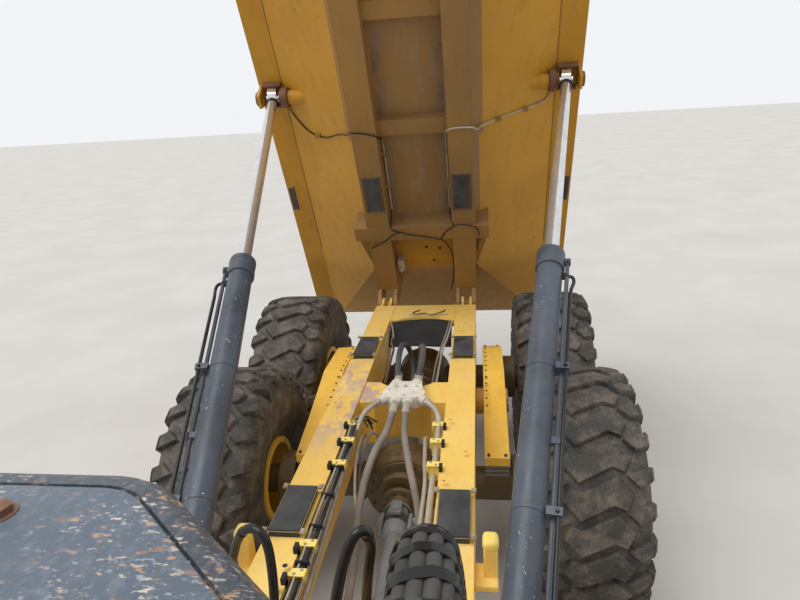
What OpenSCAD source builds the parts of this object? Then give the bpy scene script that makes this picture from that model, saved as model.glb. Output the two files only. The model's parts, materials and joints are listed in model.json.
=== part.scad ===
/* [Wheels] */
// Outside diameter of a tyre, out to the tips of its lugs
tyre_d = 1870; // [1700:10:1900]
// Width of a tyre
tyre_w = 750; // [650:10:780]
// Diameter of the bead seat of a rim
rim_d = 635; // [600:1:680]
// Width of a rim between the outer faces of its flanges
rim_w = 640; // [560:5:660]
// Distance between the middle planes of the two wheels on an axle
track = 2760; // [2700:10:2900]
// Distance between the two rear axles
tandem = 1970; // [1920:10:2100]

/* [Rear frame] */
// Width of the rear frame over its side beams
frame_w = 1180; // [1100:10:1240]
// Width of one side beam
beam_w = 230; // [180:5:250]
// Height of the frame's top over the ground
frame_top = 1600; // [1560:5:1640]
// Depth of a side beam
beam_h = 400; // [320:5:430]
// Length of the rear frame behind the rearmost axle
frame_tail = 550; // [450:10:580]
// Distance from the rearmost axle to the front face of the rear frame
frame_nose = 4800; // [4750:10:4815]
// Height of the rubber pads that the raised body comes down on
pad_h = 50; // [40:1:60]
// Thickness of a walking beam
walk_w = 190; // [150:5:200]
// Radius of the trunnion that a walking beam turns on
trunnion_r = 85; // [60:1:100]

/* [Axles] */
// Radius of an axle tube
axle_r = 130; // [100:1:140]
// Radius of the round housing in the middle of an axle
banjo_r = 290; // [240:5:300]
// Radius of a wheel spindle
spindle_r = 120; // [90:1:130]
// Radius of a brake housing
brake_r = 230; // [200:1:260]

/* [Dump body] */
// Width of the body over its side walls
body_w = 3440; // [3300:10:3500]
// Width of the flat floor between the slopes
floor_w = 1200; // [1190:10:1300]
// Width of the ledge between a slope and the side wall over it
ledge_w = 260; // [200:10:320]
// Thickness of the body's plates
plate_t = 25; // [15:1:35]
// Length of the body from its hinge to the front of its top edge
body_front = 5440; // [5200:10:5440]
// Length of the body behind its hinge
body_tail = 1007; // [900:1:1100]
// Height of the side walls above the ledges at the front
wall_h = 880; // [700:10:1000]
// Depth of the rails under the floor
rail_h = 220; // [180:5:240]
// Width of one rail
rail_w = 250; // [200:5:260]
// Width over the two rails
rails_w = 1200; // [1160:10:1200]
// Angle that the body is raised to
tip_angle = 65; // [55:1:70]

/* [Hoist cylinders] */
// Outside radius of a hoist barrel
hoist_r = 88; // [75:1:95]
// Radius of a hoist rod
hoist_rod_r = 53; // [40:1:60]
// Length of a hoist barrel from its ball to its open end
hoist_len = 3095; // [2950:5:3110]
// Radius of the ball that a hoist barrel turns on
ball_r = 65; // [60:1:70]

/* [Hitch] */
// Distance from the front face of the rear frame to the steering pivot
hitch_gap = 290; // [285:1:310]
// Distance from the steering pivot to the front axle
hitch_to_axle = 1470; // [1400:10:1550]
// Height of the hitch's middle over the ground
hitch_z = 1150; // [1120:5:1180]
// Radius of the journal that the front half rolls on
journal_r = 120; // [90:1:140]
// Radius of the two steering pins
steer_pin_r = 60; // [45:1:70]
// Radius of a steering cylinder's barrel
steer_r = 55; // [45:1:60]
// Radius of a steering cylinder's rod
steer_rod_r = 32; // [25:1:38]

/* [Front half] */
// Width over the front frame's beams
front_w = 860; // [820:10:880]
// Height of the front frame's top over the ground
front_top = 1450; // [1420:5:1470]
// Distance from the front axle to the front of the front frame
front_overhang = 2790; // [2700:10:2850]
// Length of the cab
cab_len = 1250; // [1200:10:1300]
// Width of the cab
cab_w = 1480; // [1400:10:1500]
// Height of the cab's roof over the ground
roof_z = 3590; // [3500:5:3650]
// Thickness of the cab's walls and of its door
cab_t = 50; // [35:1:60]
// Height of the cab's floor panel over the ground
cab_z = 1960; // [1955:5:1990]
// Thickness of the window panes
glass_t = 6; // [4:1:10]
// Width of the hood
hood_w = 1280; // [1200:10:1360]
// Thickness of the hood's panels
hood_t = 25; // [15:1:30]
// Width over the front fenders
fender_w = 3480; // [3300:10:3500]
// Thickness of the fenders' plates
fender_t = 30; // [20:1:40]

/* [Hidden] */
$fn = 48;

yellow = "#d9a520";
black = "#26262a";
grey = "#6f7277";
steel = "#b9bcc0";
rubber = "#2b2a29";
glass = "#9fb6bd";
red = "#a02018";

// Running clearance at pins and beads, and the gap between pieces that move past each other
fit = 0.3;
clear = 5;
// What a sloping weld seam stays below the plate that it follows
seam = 0.1;

tyre_r = tyre_d / 2;
half_track = track / 2;
wheel_in = half_track - tyre_w / 2;
hitch_x = frame_nose + hitch_gap;
front_axle_x = hitch_x + hitch_to_axle;
front_nose = front_axle_x + front_overhang;
frame_half = frame_w / 2;
frame_in = frame_half - beam_w;
frame_low = frame_top - beam_h;

// Wheel name, distance ahead of the rearmost axle, and side of the truck, 1 for the left
WHEELS = [["front_left", front_axle_x, 1], ["front_right", front_axle_x, -1],
    ["mid_left", tandem, 1], ["mid_right", tandem, -1],
    ["rear_left", 0, 1], ["rear_right", 0, -1]];

// Walking beams: inner face, bearing height and the seats over the axles
walk_in = frame_half + 70;
walk_out = walk_in + walk_w;
walk_x = tandem / 2;
axle_nose = 420;
nose_low = hitch_z - journal_r - 60;
nose_len = 650;
walk_z = frame_low - 50;
saddle_z = tyre_r + axle_r + 20;
block_h = 95;
block_z = saddle_z + block_h;
trunnion_len = 32;

// Body: heights over its hinge when it is down, and lengths ahead of the hinge
hinge_x = -frame_tail - 183;
hinge_z = frame_top - 46;
hinge_pin_r = 45;
arm_r = 95;
arm_t = 40;
ear_t = 30;
wear_t = 10;
rail_n = frame_top + pad_h + clear + wear_t - hinge_z;
floor_n = rail_n + rail_h;
ledge_n = floor_n + 624;
ramp_v = 350;
tail_n = floor_n + 570;
top_n = ledge_n + wall_h;
top_rear_n = top_n - 260;
top_rear_v = -480;
front_foot_v = body_front - 470;
body_half = body_w / 2;
fold_w = body_w - 2 * ledge_w;
rail_out = rails_w / 2;
rail_in = rail_out - rail_w;
slope_rise = (ledge_n - floor_n) / (fold_w / 2 - floor_w / 2);
ramp_rise = (tail_n - floor_n) / (body_tail + ramp_v);

// Rubber pads: middle and length along the frame, and the width of a pad
PADS = [[780, 440], [3255, 410]];
pad_y = (frame_half + frame_in) / 2;
pad_w = beam_w - 50;

// Hoist: the ball on the frame, and the eye's place in the body
hoist_x = frame_nose - 188;
hoist_y = frame_half + 104;
hoist_z = frame_top - 194;
eye_v = 2339;
eye_n = ledge_n - 134;
eye_y = body_half - 171;
eye_r = 105;
eye_half = 45;
eye_pin_r = 40;
hoist_dir = body_point(eye_v, eye_y, eye_n, tip_angle) - [hoist_x, hoist_y, hoist_z];
hoist_span = norm(hoist_dir);
hoist_heading = atan2(hoist_dir[1], hoist_dir[0]);
hoist_pitch = asin(hoist_dir[2] / hoist_span);

// Steering cylinders: the lug on the yoke and the base on the front frame, from the pivot
steer_z = hitch_z - 150;
lug_x = -100;
lug_y = 320;
base_x = 950;
base_y = 380;
steer_dir = [lug_x - base_x, lug_y - base_y];
steer_span = norm(steer_dir);
steer_heading = atan2(steer_dir[1], steer_dir[0]);
steer_len = 680;
steer_eye_r = 55;
steer_eye_half = 35;

// Front half
post_half = 150;
post_x = 115;
post_h = 270;
ear_h = 70;
beam_front_t = 100;
front_half = front_w / 2;
front_in = front_half - beam_front_t;
front_low = front_top - 300;
web_x = hitch_x + 225;
web_t = 130;
strut_y = front_half + 80;
cab_x = [front_axle_x - 860, front_axle_x - 860 + cab_len];
cab_half = cab_w / 2;
wall_z = roof_z - 110;
cab_corner_r = 200;
roof_corner_r = 380;
door_x = [cab_x[0] + 160, cab_x[1] - 250];
door_z = [cab_z + 80, wall_z - 70];
window_z = 2480;
knuckle_r = 16;
knuckle_h = 60;
knuckle = [door_x[1] - 20, cab_half + 22];
hinge_zs = [door_z[0] + 200, door_z[1] - 320];
hood_x = [cab_x[1] + 40, front_nose + 210];
hood_half = hood_w / 2;
hood_z = front_top + 50;
hood_rear_z = hood_z + 1060;
hood_front_z = hood_z + 680;
hood_hinge = [front_nose + 110, front_top + 20];
hood_ear_y = [hood_half - 120, hood_half - 95];
hood_ear_r = 30;
hood_pin_r = 12;
fender_half = fender_w / 2;
fender_in = cab_half + 35;
deck_z = cab_z + 15;
bumper_x = front_nose + 310;
step_x = [front_axle_x + 1110, front_axle_x + 1560];
step_out = fender_half - 300;
front_end = bumper_x + 90;
rear_end = body_point(top_rear_v, 0, top_rear_n, tip_angle)[0];
middle_x = round((front_end + rear_end) / 2);

function body_point(v, y, n, a) =
    [hinge_x + v * cos(a) - n * sin(a), y, hinge_z + v * sin(a) + n * cos(a)];
function ramp_at(v) = floor_n + (ramp_v - v) * ramp_rise;
function slope_at(y) = floor_n + (y - floor_w / 2) * slope_rise;

// Moves the truck so that the middle of its length is over the origin
module in_truck() {
    translate([-middle_x, 0, 0]) children();
}

// The body's own frame: along its floor, across, and up from its hinge
module in_body() {
    in_truck() translate([hinge_x, 0, hinge_z]) rotate([0, -tip_angle, 0]) children();
}

module box(x, y, z) {
    translate([x[0], y[0], z[0]]) cube([x[1] - x[0], y[1] - y[0], z[1] - z[0]]);
}

module both_sides() {
    children();
    mirror([0, 1, 0]) children();
}

module on_side(side) {
    mirror([0, side > 0 ? 0 : 1, 0]) children();
}

// A plate whose outline is drawn along the truck and upwards
module side_plate(points, y) {
    translate([0, y[1], 0]) rotate([90, 0, 0]) linear_extrude(y[1] - y[0]) polygon(points);
}

// A length of section whose outline is drawn across the truck and upwards
module cross_section(points, x) {
    translate([x[0], 0, 0]) rotate([90, 0, 90]) linear_extrude(x[1] - x[0]) polygon(points);
}

module bar_x(r, x, y, z) {
    translate([x[0], y, z]) rotate([0, 90, 0]) cylinder(r = r, h = x[1] - x[0]);
}

module bar_y(r, x, y, z) {
    translate([x, y[0], z]) rotate([-90, 0, 0]) cylinder(r = r, h = y[1] - y[0]);
}

module bar_z(r, x, y, z) {
    translate([x, y, z[0]]) cylinder(r = r, h = z[1] - z[0]);
}

// A flat panel with round corners, radius by radius for its rear and front pair
module round_panel(x, half, rear_r, front_r) {
    difference() {
        translate([x[0], -half]) square([x[1] - x[0], 2 * half]);
        for (s = [-1, 1]) {
            panel_corner(x[0], s * half, 1, -s, rear_r);
            panel_corner(x[1], s * half, -1, -s, front_r);
        }
    }
}

module panel_corner(x, y, dx, dy, r) {
    difference() {
        translate([dx > 0 ? x - 1 : x - r, dy > 0 ? y - 1 : y - r]) square(r + 1);
        translate([x + dx * r, y + dy * r]) circle(r);
    }
}

module rear_frame_beams() color(yellow) in_truck() both_sides() difference() {
    union() {
        side_plate([[-frame_tail, frame_top], [frame_nose, frame_top], [frame_nose, nose_low],
            [frame_nose - nose_len, nose_low], [frame_nose - 1100, frame_low], [200, frame_low],
            [-frame_tail, frame_low + 150]], [frame_in, frame_half]);
        hinge_ears();
        walking_trunnion();
    }
    bar_y(hinge_pin_r + fit, hinge_x, [0, frame_half], hinge_z);
}

module rear_frame_crossmembers() color(yellow) in_truck() {
    rear_cross_plate();
    middle_crossmember();
    box([frame_nose - nose_len, frame_nose], [-frame_in, frame_in], [nose_low, frame_top - 60]);
    bar_x(journal_r, [frame_nose - 1, frame_nose + 180], 0, hitch_z);
}

module hinge_ears() {
    for (y = [pad_y - 55, pad_y + 40]) {
        bar_y(arm_r - 10, hinge_x, [y, y + ear_t], hinge_z);
        box([hinge_x, -frame_tail], [y, y + ear_t], [hinge_z - arm_r + 10, frame_top]);
    }
}

module walking_trunnion() {
    box([walk_x - 170, walk_x + 170], [frame_in + 20, frame_half], [walk_z - 110, frame_low]);
    bar_y(trunnion_r, walk_x, [frame_half - 60, walk_out + trunnion_len], walk_z);
    bar_y(trunnion_r + 35, walk_x, [frame_half, walk_in - 1], walk_z);
    bar_y(trunnion_r + 35, walk_x, [walk_out + 1, walk_out + trunnion_len], walk_z);
}

// The ball that a hoist barrel turns on, on a pin between the frame and an outer cheek
module hoist_brackets() color(yellow) in_truck() both_sides() {
    cheek = 20;
    out = hoist_y + eye_half + 45;
    translate([hoist_x, hoist_y, hoist_z]) sphere(ball_r);
    bar_y(ball_r - 30, hoist_x, [frame_half, out], hoist_z);
    bar_y(80, hoist_x, [out - 1, out + cheek], hoist_z);
    box([hoist_x - 80, hoist_x + 80], [out - 1, out + cheek], [hoist_z - 180, hoist_z]);
    box([hoist_x - 100, hoist_x + 100], [frame_half, out + cheek], [hoist_z - 200, hoist_z - 165]);
}

module rear_cross_plate() {
    plate_x = [-frame_tail, -frame_tail + 500];
    difference() {
        box(plate_x, [-frame_in, frame_in], [frame_top - 250, frame_top]);
        bar_z(frame_in, plate_x[1] + 250, 0, [frame_top - 251, frame_top + 1]);
        box([plate_x[0] + 60, plate_x[1]], [-frame_in, frame_in], [frame_top - 251, frame_top - 40]);
    }
}

module rear_tow_eye() color(yellow) in_truck() difference() {
    box([-frame_tail - 160, -frame_tail], [-70, 70], [frame_top - 240, frame_top - 200]);
    bar_z(32, -frame_tail - 95, 0, [frame_top - 241, frame_top - 199]);
}

// A crossmember with a waist, between the two openings of the frame
module middle_crossmember() {
    x = [1460, 1830];
    waist_r = 300;
    difference() {
        box(x, [-frame_in, frame_in], [frame_low, frame_top - 20]);
        bar_z(waist_r, x[0] - 190, 0, [frame_low - 1, frame_top]);
        bar_z(waist_r, x[1] + 190, 0, [frame_low - 1, frame_top]);
    }
}

module body_pads() color(rubber) in_truck() {
    for (p = PADS) both_sides()
        box([p[0] - p[1] / 2, p[0] + p[1] / 2], [pad_y - pad_w / 2, pad_y + pad_w / 2],
            [frame_top, frame_top + pad_h]);
}

module walking_beam(side) color(yellow) in_truck() on_side(side) {
    end = 130;
    mid_low = walk_z - 130;
    crown = block_z + 320;
    difference() {
        side_plate([[-end, block_z], [-end, block_z + 70], [walk_x - 535, crown - 20],
            [walk_x + 65, crown], [walk_x + 665, crown - 150], [tandem + end, block_z + 70],
            [tandem + end, block_z], [tandem - 180, block_z], [walk_x + 265, mid_low],
            [walk_x - 265, mid_low], [180, block_z]], [walk_in, walk_out]);
        bar_y(trunnion_r + fit, walk_x, [walk_in - 1, walk_out + 1], walk_z);
    }
}

module walking_beam_left() { walking_beam(1); }

module walking_beam_right() { walking_beam(-1); }

// Laminated blocks of steel and rubber between each beam end and its axle
module suspension_blocks() color(grey) in_truck() {
    layers = 5;
    layer = block_h / layers;
    for (x = [0, tandem]) both_sides() for (i = [0 : layers - 1]) {
        grow = i % 2 == 0 ? 10 : 0;
        box([x - 115 - grow, x + 115 + grow], [walk_in + 10 - grow, walk_out - 10 + grow],
            [saddle_z + i * layer, saddle_z + (i + 1) * layer]);
    }
}

// A drive axle: round housing, tubes, saddles for the blocks, brakes and spindles
module drive_axle(x, saddle_y, nose) {
    tube_out = wheel_in - 130;
    bar_x(banjo_r, [x - 150, x + 150], 0, tyre_r);
    bar_x(banjo_r - 90, [x - 240, x + 240], 0, tyre_r);
    bar_x(100, [min(x, x + nose), max(x, x + nose)], 0, tyre_r);
    both_sides() {
        bar_y(axle_r, x, [0, tube_out], tyre_r);
        bar_y(brake_r, x, [tube_out, wheel_in - 5], tyre_r);
        bar_y(spindle_r, x, [tube_out, half_track + 130], tyre_r);
        box([x - 125, x + 125], saddle_y, [tyre_r, saddle_z]);
    }
}

module mid_axle() color(yellow) in_truck() {
    drive_axle(tandem, [walk_in, walk_out], axle_nose);
}

module rear_axle() color(yellow) in_truck() {
    drive_axle(0, [walk_in, walk_out], axle_nose);
}

module front_axle() color(yellow) in_truck() {
    drive_axle(front_axle_x, [strut_y - 70, strut_y + 70], -axle_nose);
    bar_x(50, [web_x + web_t, front_axle_x - axle_nose], 0, tyre_r);
}

// Shafts from the hitch to the middle axle and from there to the rear one
module propshafts() color(grey) in_truck() {
    ends = [[axle_nose, tandem - 240], [tandem + axle_nose, frame_nose - nose_len]];
    for (e = ends) {
        bar_x(55, e, 0, tyre_r);
        bar_x(90, [e[0], e[0] + 70], 0, tyre_r);
        bar_x(90, [e[1] - 70, e[1]], 0, tyre_r);
    }
}

module hydraulic_manifold() color(grey) in_truck() {
    z = frame_top - 20;
    box([1590, 1740], [-150, 220], [z, z + 90]);
    for (y = [-110 : 60 : 190]) bar_z(22, 1665, y, [z + 90, z + 125]);
}

module rear_lamps() color(red) in_truck() {
    both_sides() box([-frame_tail - 45, -frame_tail], [frame_in - 240, frame_in - 80],
        [frame_top - 130, frame_top - 50]);
}

// Cross outline of the body, grown inwards by t
function body_outline(t) =
    let (fold = fold_w / 2, flat = floor_w / 2, wall = body_half - t,
         sec = sqrt(1 + slope_rise * slope_rise), shift = t * (sec - 1) / slope_rise,
         high = top_n + (t > 0 ? 200 : 0))
    [[-wall, high], [-wall, ledge_n + t], [-fold + shift, ledge_n + t], [-flat + shift, floor_n + t],
     [flat - shift, floor_n + t], [fold - shift, ledge_n + t], [wall, ledge_n + t], [wall, high]];

// Side outline of the body, grown inwards by t at its floor, ramp and front wall
function body_profile(t) =
    let (up = t * sqrt(1 + ramp_rise * ramp_rise), back = t * 1.1, far = t > 0 ? 300 : 0,
         tail = -body_tail - far)
    [[tail, ramp_at(tail) + up], [ramp_v - (up - t) / ramp_rise, floor_n + t],
     [front_foot_v - back, floor_n + t], [body_front - back, top_n],
     [body_front - back, top_n + far], [top_rear_v, (t > 0 ? top_n : top_rear_n) + far],
     [tail, (t > 0 ? top_n : tail_n + 10) + far]];

module dump_body() color(yellow) in_body() {
    difference() {
        union() {
            intersection() {
                cross_section(body_outline(0), [-body_tail - 50, body_front + 50]);
                side_plate(body_profile(0), [-body_half - 50, body_half + 50]);
            }
            both_sides() {
                bar_y(75, eye_v, [fold_w / 2 - 300, eye_y - eye_half - 38], eye_n);
                top_rim();
            }
        }
        intersection() {
            cross_section(body_outline(plate_t), [-body_tail - 400, body_front + 50]);
            side_plate(body_profile(plate_t), [-body_half - 50, body_half + 50]);
        }
    }
    both_sides() eye_bracket();
}

// The box section along the top edge of a side wall
module top_rim() {
    rim = 90;
    side_plate([[top_rear_v, top_rear_n], [body_front, top_n], [body_front, top_n - rim],
        [top_rear_v, top_rear_n - rim]], [body_half - 10, body_half + 40]);
}

// The outer plate beside a rod's eye, hung from the ledge
module eye_bracket() {
    y = [eye_y + 121, eye_y + 151];
    difference() {
        side_plate([[eye_v - 110, ledge_n], [eye_v + 110, ledge_n], [eye_v + 70, eye_n - 85],
            [eye_v - 70, eye_n - 85]], y);
        bar_y(eye_pin_r + 6, eye_v, [y[0] - 1, y[1] + 1], eye_n);
    }
}

// Rails, ribs and hinge arms under the floor
module body_rails() color(yellow) in_body() {
    beam_v = [913, 1083];
    beam_half = 750;
    rail_start = 150;
    both_sides() {
        box([rail_start, front_foot_v - 60], [rail_in, rail_out], [rail_n, floor_n]);
        for (v = [1293, 3783]) box([v, v + 450], [rail_in + 20, rail_out - 30], [rail_n - wear_t, rail_n]);
        hinge_arm([frame_in, frame_in + arm_t]);
        hinge_arm([frame_half - arm_t, frame_half]);
        bar_y(hinge_pin_r, 0, [frame_in + 1, frame_half - 1], 0);
        side_gusset(beam_v[0], beam_half);
    }
    beam_top = slope_at(beam_half) - seam;
    cross_section([[-beam_half, rail_n - 15], [beam_half, rail_n - 15], [beam_half, beam_top],
        [floor_w / 2, floor_n], [-floor_w / 2, floor_n], [-beam_half, beam_top]], beam_v);
    for (v = [2150, 3260, 4300]) box([v, v + 160], [-rail_in, rail_in], [floor_n - 120, floor_n]);
}

module hinge_arm(y) {
    bar_y(arm_r, 0, y, 0);
    side_plate([[85, -40], [150, rail_n], [500, rail_n], [500, floor_n], [ramp_v, floor_n],
        [-arm_r, ramp_at(-arm_r) - seam], [-arm_r, 0]], y);
}

module side_gusset(v, half) {
    n = rail_n + 80;
    translate([0, 0, n]) linear_extrude(20)
        polygon([[v, rail_out], [v, half], [v - 490, rail_out]]);
}

// A hoist cylinder's own frame: along it from its ball, and across
module in_hoist(side) {
    in_truck() on_side(side) translate([hoist_x, hoist_y, hoist_z])
        rotate([0, -hoist_pitch, hoist_heading]) children();
}

module hoist_barrel(side) color(black) in_hoist(side) {
    bore_r = hoist_r - 16;
    difference() {
        union() {
            bar_y(eye_r, 0, [-40, 40], 0);
            box([eye_r - 25, 200], [-35, 35], [-60, 60]);
            bar_x(hoist_r, [150, hoist_len], 0, 0);
            bar_x(hoist_r + 10, [hoist_len - 140, hoist_len], 0, 0);
            hoist_pipe();
        }
        rotate([90, 0, 0]) sphere(ball_r + 0.5);
        bar_x(bore_r, [230, hoist_len - 60], 0, 0);
        bar_x(hoist_rod_r + fit, [230, hoist_len + 1], 0, 0);
    }
}

// The oil pipe along the outer side of a barrel
module hoist_pipe() {
    y = -hoist_r - 30;
    bar_x(14, [320, hoist_len - 60], y, 0);
    for (x = [320, hoist_len / 2, hoist_len - 100])
        box([x, x + 40], [y - 20, -hoist_r + 20], [-18, 18]);
}

module hoist_barrel_left() { hoist_barrel(1); }

module hoist_barrel_right() { hoist_barrel(-1); }

module hoist_rod(side) color(steel) in_hoist(side) {
    piston = 90;
    difference() {
        union() {
            bar_x(hoist_r - 16 - fit, [hoist_len - 60 - 2 * piston, hoist_len - 60 - piston], 0, 0);
            bar_x(hoist_rod_r, [hoist_len - 60 - 2 * piston, hoist_span - eye_r + 10], 0, 0);
            bar_y(eye_r, hoist_span, [-eye_half, eye_half], 0);
            bar_y(eye_pin_r, hoist_span, [-eye_half - 20, eye_half + 20], 0);
        }
    }
}

module hoist_rod_left() { hoist_rod(1); }

module hoist_rod_right() { hoist_rod(-1); }

// The piece between the halves: it rolls on the rear frame and carries the steering pins
module hitch_yoke() color(yellow) in_truck() translate([hitch_x, 0, 0]) {
    tube_x = frame_nose + 6 - hitch_x;
    difference() {
        union() {
            bar_x(journal_r + 70, [tube_x, -post_x + 1], 0, hitch_z);
            box([-post_x, post_x], [-post_half, post_half], [hitch_z - post_h, hitch_z + post_h]);
            both_sides() for (z = [steer_z - steer_eye_half - 30, steer_z + steer_eye_half + 10]) {
                box([lug_x - 60, lug_x + 60], [post_half - 60, lug_y], [z, z + 20]);
                bar_z(60, lug_x, lug_y, [z, z + 20]);
            }
        }
        bar_x(journal_r + fit, [tube_x - 1, frame_nose + 186 - hitch_x], 0, hitch_z);
        bar_z(steer_pin_r + fit, 0, 0, [hitch_z + post_h - 130, hitch_z + post_h + 1]);
        bar_z(steer_pin_r + fit, 0, 0, [hitch_z - post_h - 1, hitch_z - post_h + 130]);
    }
}

module front_frame() color(yellow) in_truck() {
    ear_top = hitch_z + post_h + clear;
    ear_low = hitch_z - post_h - clear - ear_h;
    for (z = [ear_top, ear_low]) {
        bar_z(post_half, hitch_x, 0, [z, z + ear_h]);
        box([hitch_x, web_x + web_t], [-post_half, post_half], [z, z + ear_h]);
    }
    bar_z(steer_pin_r, hitch_x, 0, [ear_top - 120, ear_top]);
    bar_z(steer_pin_r, hitch_x, 0, [ear_low + ear_h, ear_low + ear_h + 120]);
    box([web_x, web_x + web_t], [-post_half, post_half], [ear_low, ear_top + ear_h]);
    box([web_x, web_x + web_t], [-front_half, front_half], [front_low, front_top]);
    for (x = [cab_x[0] + 100, front_axle_x + 640, front_axle_x + 1740, front_nose - 150])
        box([x, x + 150], [-front_in, front_in], [front_low, front_low + 100]);
    both_sides() {
        box([web_x, front_nose], [front_in, front_half], [front_low, front_top]);
        for (x = [cab_x[0] + 60, cab_x[1] - 160])
            box([x, x + 100], [front_in, front_half], [front_top, cab_z]);
        steering_base();
        axle_hanger();
    }
}

// The bracket under a beam that a steering barrel turns on
module steering_base() {
    x = hitch_x + base_x;
    for (z = [steer_z - steer_eye_half - 30, steer_z + steer_eye_half + clear]) {
        box([x - 45, x + 60], [base_y - 50, base_y + 50], [z, z + 25]);
    }
    bar_z(25, x, base_y, [steer_z - steer_eye_half - 10, steer_z + steer_eye_half + 10]);
    box([x + 60, x + 100], [base_y - 50, base_y + 50], [steer_z - steer_eye_half - 30, front_low]);
}

// The bracket and strut that carry the front axle
module axle_hanger() {
    box([front_axle_x - 70, front_axle_x + 70], [front_half, strut_y + 70], [front_top - 60, front_top]);
    bar_z(60, front_axle_x, strut_y, [saddle_z, front_top - 30]);
}

module engine() color(grey) in_truck() {
    half = front_in - 10;
    box([cab_x[1] + 150, front_nose - 650], [-half, half], [front_low + 100, hood_front_z - 130]);
}

module radiator() color(black) in_truck() {
    x = [front_nose - 150, front_nose];
    half = hood_half - 80;
    box(x, [-front_in, front_in], [front_low + 100, front_top]);
    box(x, [-half, half], [front_top, hood_front_z - 100]);
}

module cab_shell() color(yellow) in_truck() {
    inner_z = cab_z + 60;
    difference() {
        translate([0, 0, cab_z]) linear_extrude(wall_z - cab_z)
            round_panel(cab_x, cab_half, cab_corner_r, 80);
        translate([0, 0, inner_z]) linear_extrude(wall_z - inner_z + 1)
            round_panel([cab_x[0] + cab_t, cab_x[1] - cab_t], cab_half - cab_t, cab_corner_r - cab_t, 40);
        box(door_x, [cab_half - cab_t - 1, cab_half + 1], door_z);
        box([cab_x[0] + 260, cab_x[1] - 120], [-cab_half - 1, -cab_half + cab_t + 1],
            [window_z, wall_z - 90]);
        box([cab_x[0] - 1, cab_x[0] + cab_t + 1], [-cab_half + 220, cab_half - 220],
            [window_z + 60, wall_z - 90]);
        box([cab_x[1] - cab_t - 1, cab_x[1] + 1], [-cab_half + 110, cab_half - 110],
            [hood_rear_z + 40, wall_z - 60]);
    }
    for (z = hinge_zs) door_knuckle([z + knuckle_h + fit, z + 2 * knuckle_h]);
}

// The half of a door hinge that the cab carries
module door_knuckle(z) {
    outer = knuckle[1] + knuckle_r;
    bar_z(knuckle_r, knuckle[0], knuckle[1], z);
    box([knuckle[0], door_x[1] + 2], [knuckle[1] - 10, outer], z);
    box([door_x[1] + 2, door_x[1] + 40], [cab_half - 1, outer], z);
}

module cab_roof() color(black) in_truck() {
    translate([0, 0, wall_z]) linear_extrude(roof_z - wall_z)
        round_panel([cab_x[0] - 60, cab_x[1] + 60], cab_half + 20, roof_corner_r, 200);
}

module cab_glass() color(glass) in_truck() {
    mid = (cab_t - glass_t) / 2;
    box([cab_x[0] + 260, cab_x[1] - 120], [-cab_half + mid, -cab_half + mid + glass_t],
        [window_z, wall_z - 90]);
    box([cab_x[0] + mid, cab_x[0] + mid + glass_t], [-cab_half + 220, cab_half - 220],
        [window_z + 60, wall_z - 90]);
    box([cab_x[1] - mid - glass_t, cab_x[1] - mid], [-cab_half + 110, cab_half - 110],
        [hood_rear_z + 40, wall_z - 60]);
}

module cab_door() color(yellow) in_truck() {
    difference() {
        union() {
            box([door_x[0] + clear, door_x[1] - clear], [cab_half - cab_t, cab_half],
                [door_z[0] + clear, door_z[1] - clear]);
            for (z = hinge_zs) {
                bar_z(knuckle_r, knuckle[0], knuckle[1], [z, z + knuckle_h]);
                box([knuckle[0] - 60, knuckle[0]], [cab_half - 1, knuckle[1] + knuckle_r], [z, z + knuckle_h]);
            }
        }
        box([door_x[0] + 90, door_x[1] - 90], [cab_half - cab_t - 1, cab_half + 1],
            [window_z - 60, door_z[1] - 90]);
    }
}

module door_glass() color(glass) in_truck() {
    mid = (cab_t - glass_t) / 2;
    box([door_x[0] + 90, door_x[1] - 90], [cab_half - mid - glass_t, cab_half - mid],
        [window_z - 60, door_z[1] - 90]);
}

module hood() color(yellow) in_truck() {
    difference() {
        side_plate([[hood_x[0], hood_z], [hood_x[1], hood_z], [hood_x[1], hood_front_z - 120],
            [hood_x[1] - 120, hood_front_z], [hood_x[0], hood_rear_z]], [-hood_half, hood_half]);
        side_plate([[hood_x[0] - 1, hood_z - 1], [hood_x[1] - hood_t, hood_z - 1],
            [hood_x[1] - hood_t, hood_front_z - 130], [hood_x[1] - 130, hood_front_z - hood_t - 5],
            [hood_x[0] - 1, hood_rear_z - hood_t - 5]], [-hood_half + hood_t, hood_half - hood_t]);
        box([hood_x[1] - hood_t - 1, hood_x[1] + 1], [-hood_half + 120, hood_half - 120],
            [hood_z + 60, hood_front_z - 160]);
    }
    both_sides() hood_lug();
}

module hood_lug() {
    y = [hood_ear_y[1] + 1, hood_ear_y[1] + 26];
    x = [hood_hinge[0] - hood_ear_r, hood_hinge[0] + hood_ear_r];
    bar_y(hood_ear_r, hood_hinge[0], y, hood_hinge[1]);
    box(x, y, [hood_hinge[1], hood_z + 60]);
    box(x, [y[0], hood_half - hood_t + 1], [hood_z, hood_z + 60]);
    bar_y(hood_pin_r, hood_hinge[0], [hood_ear_y[0] - 5, y[0] + 1], hood_hinge[1]);
}

module grille() color(black) in_truck() {
    bars = 9;
    z = [hood_z + 60, hood_front_z - 160];
    step = (z[1] - z[0]) / bars;
    half = hood_half - 120;
    for (i = [0 : bars - 1])
        box([hood_x[1] - hood_t, hood_x[1] - 5], [-half, half], [z[0] + i * step, z[0] + (i + 0.55) * step]);
    for (y = [-half, -15, half - 30])
        box([hood_x[1] - hood_t, hood_x[1] - 8], [y, y + 30], z);
}

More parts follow.
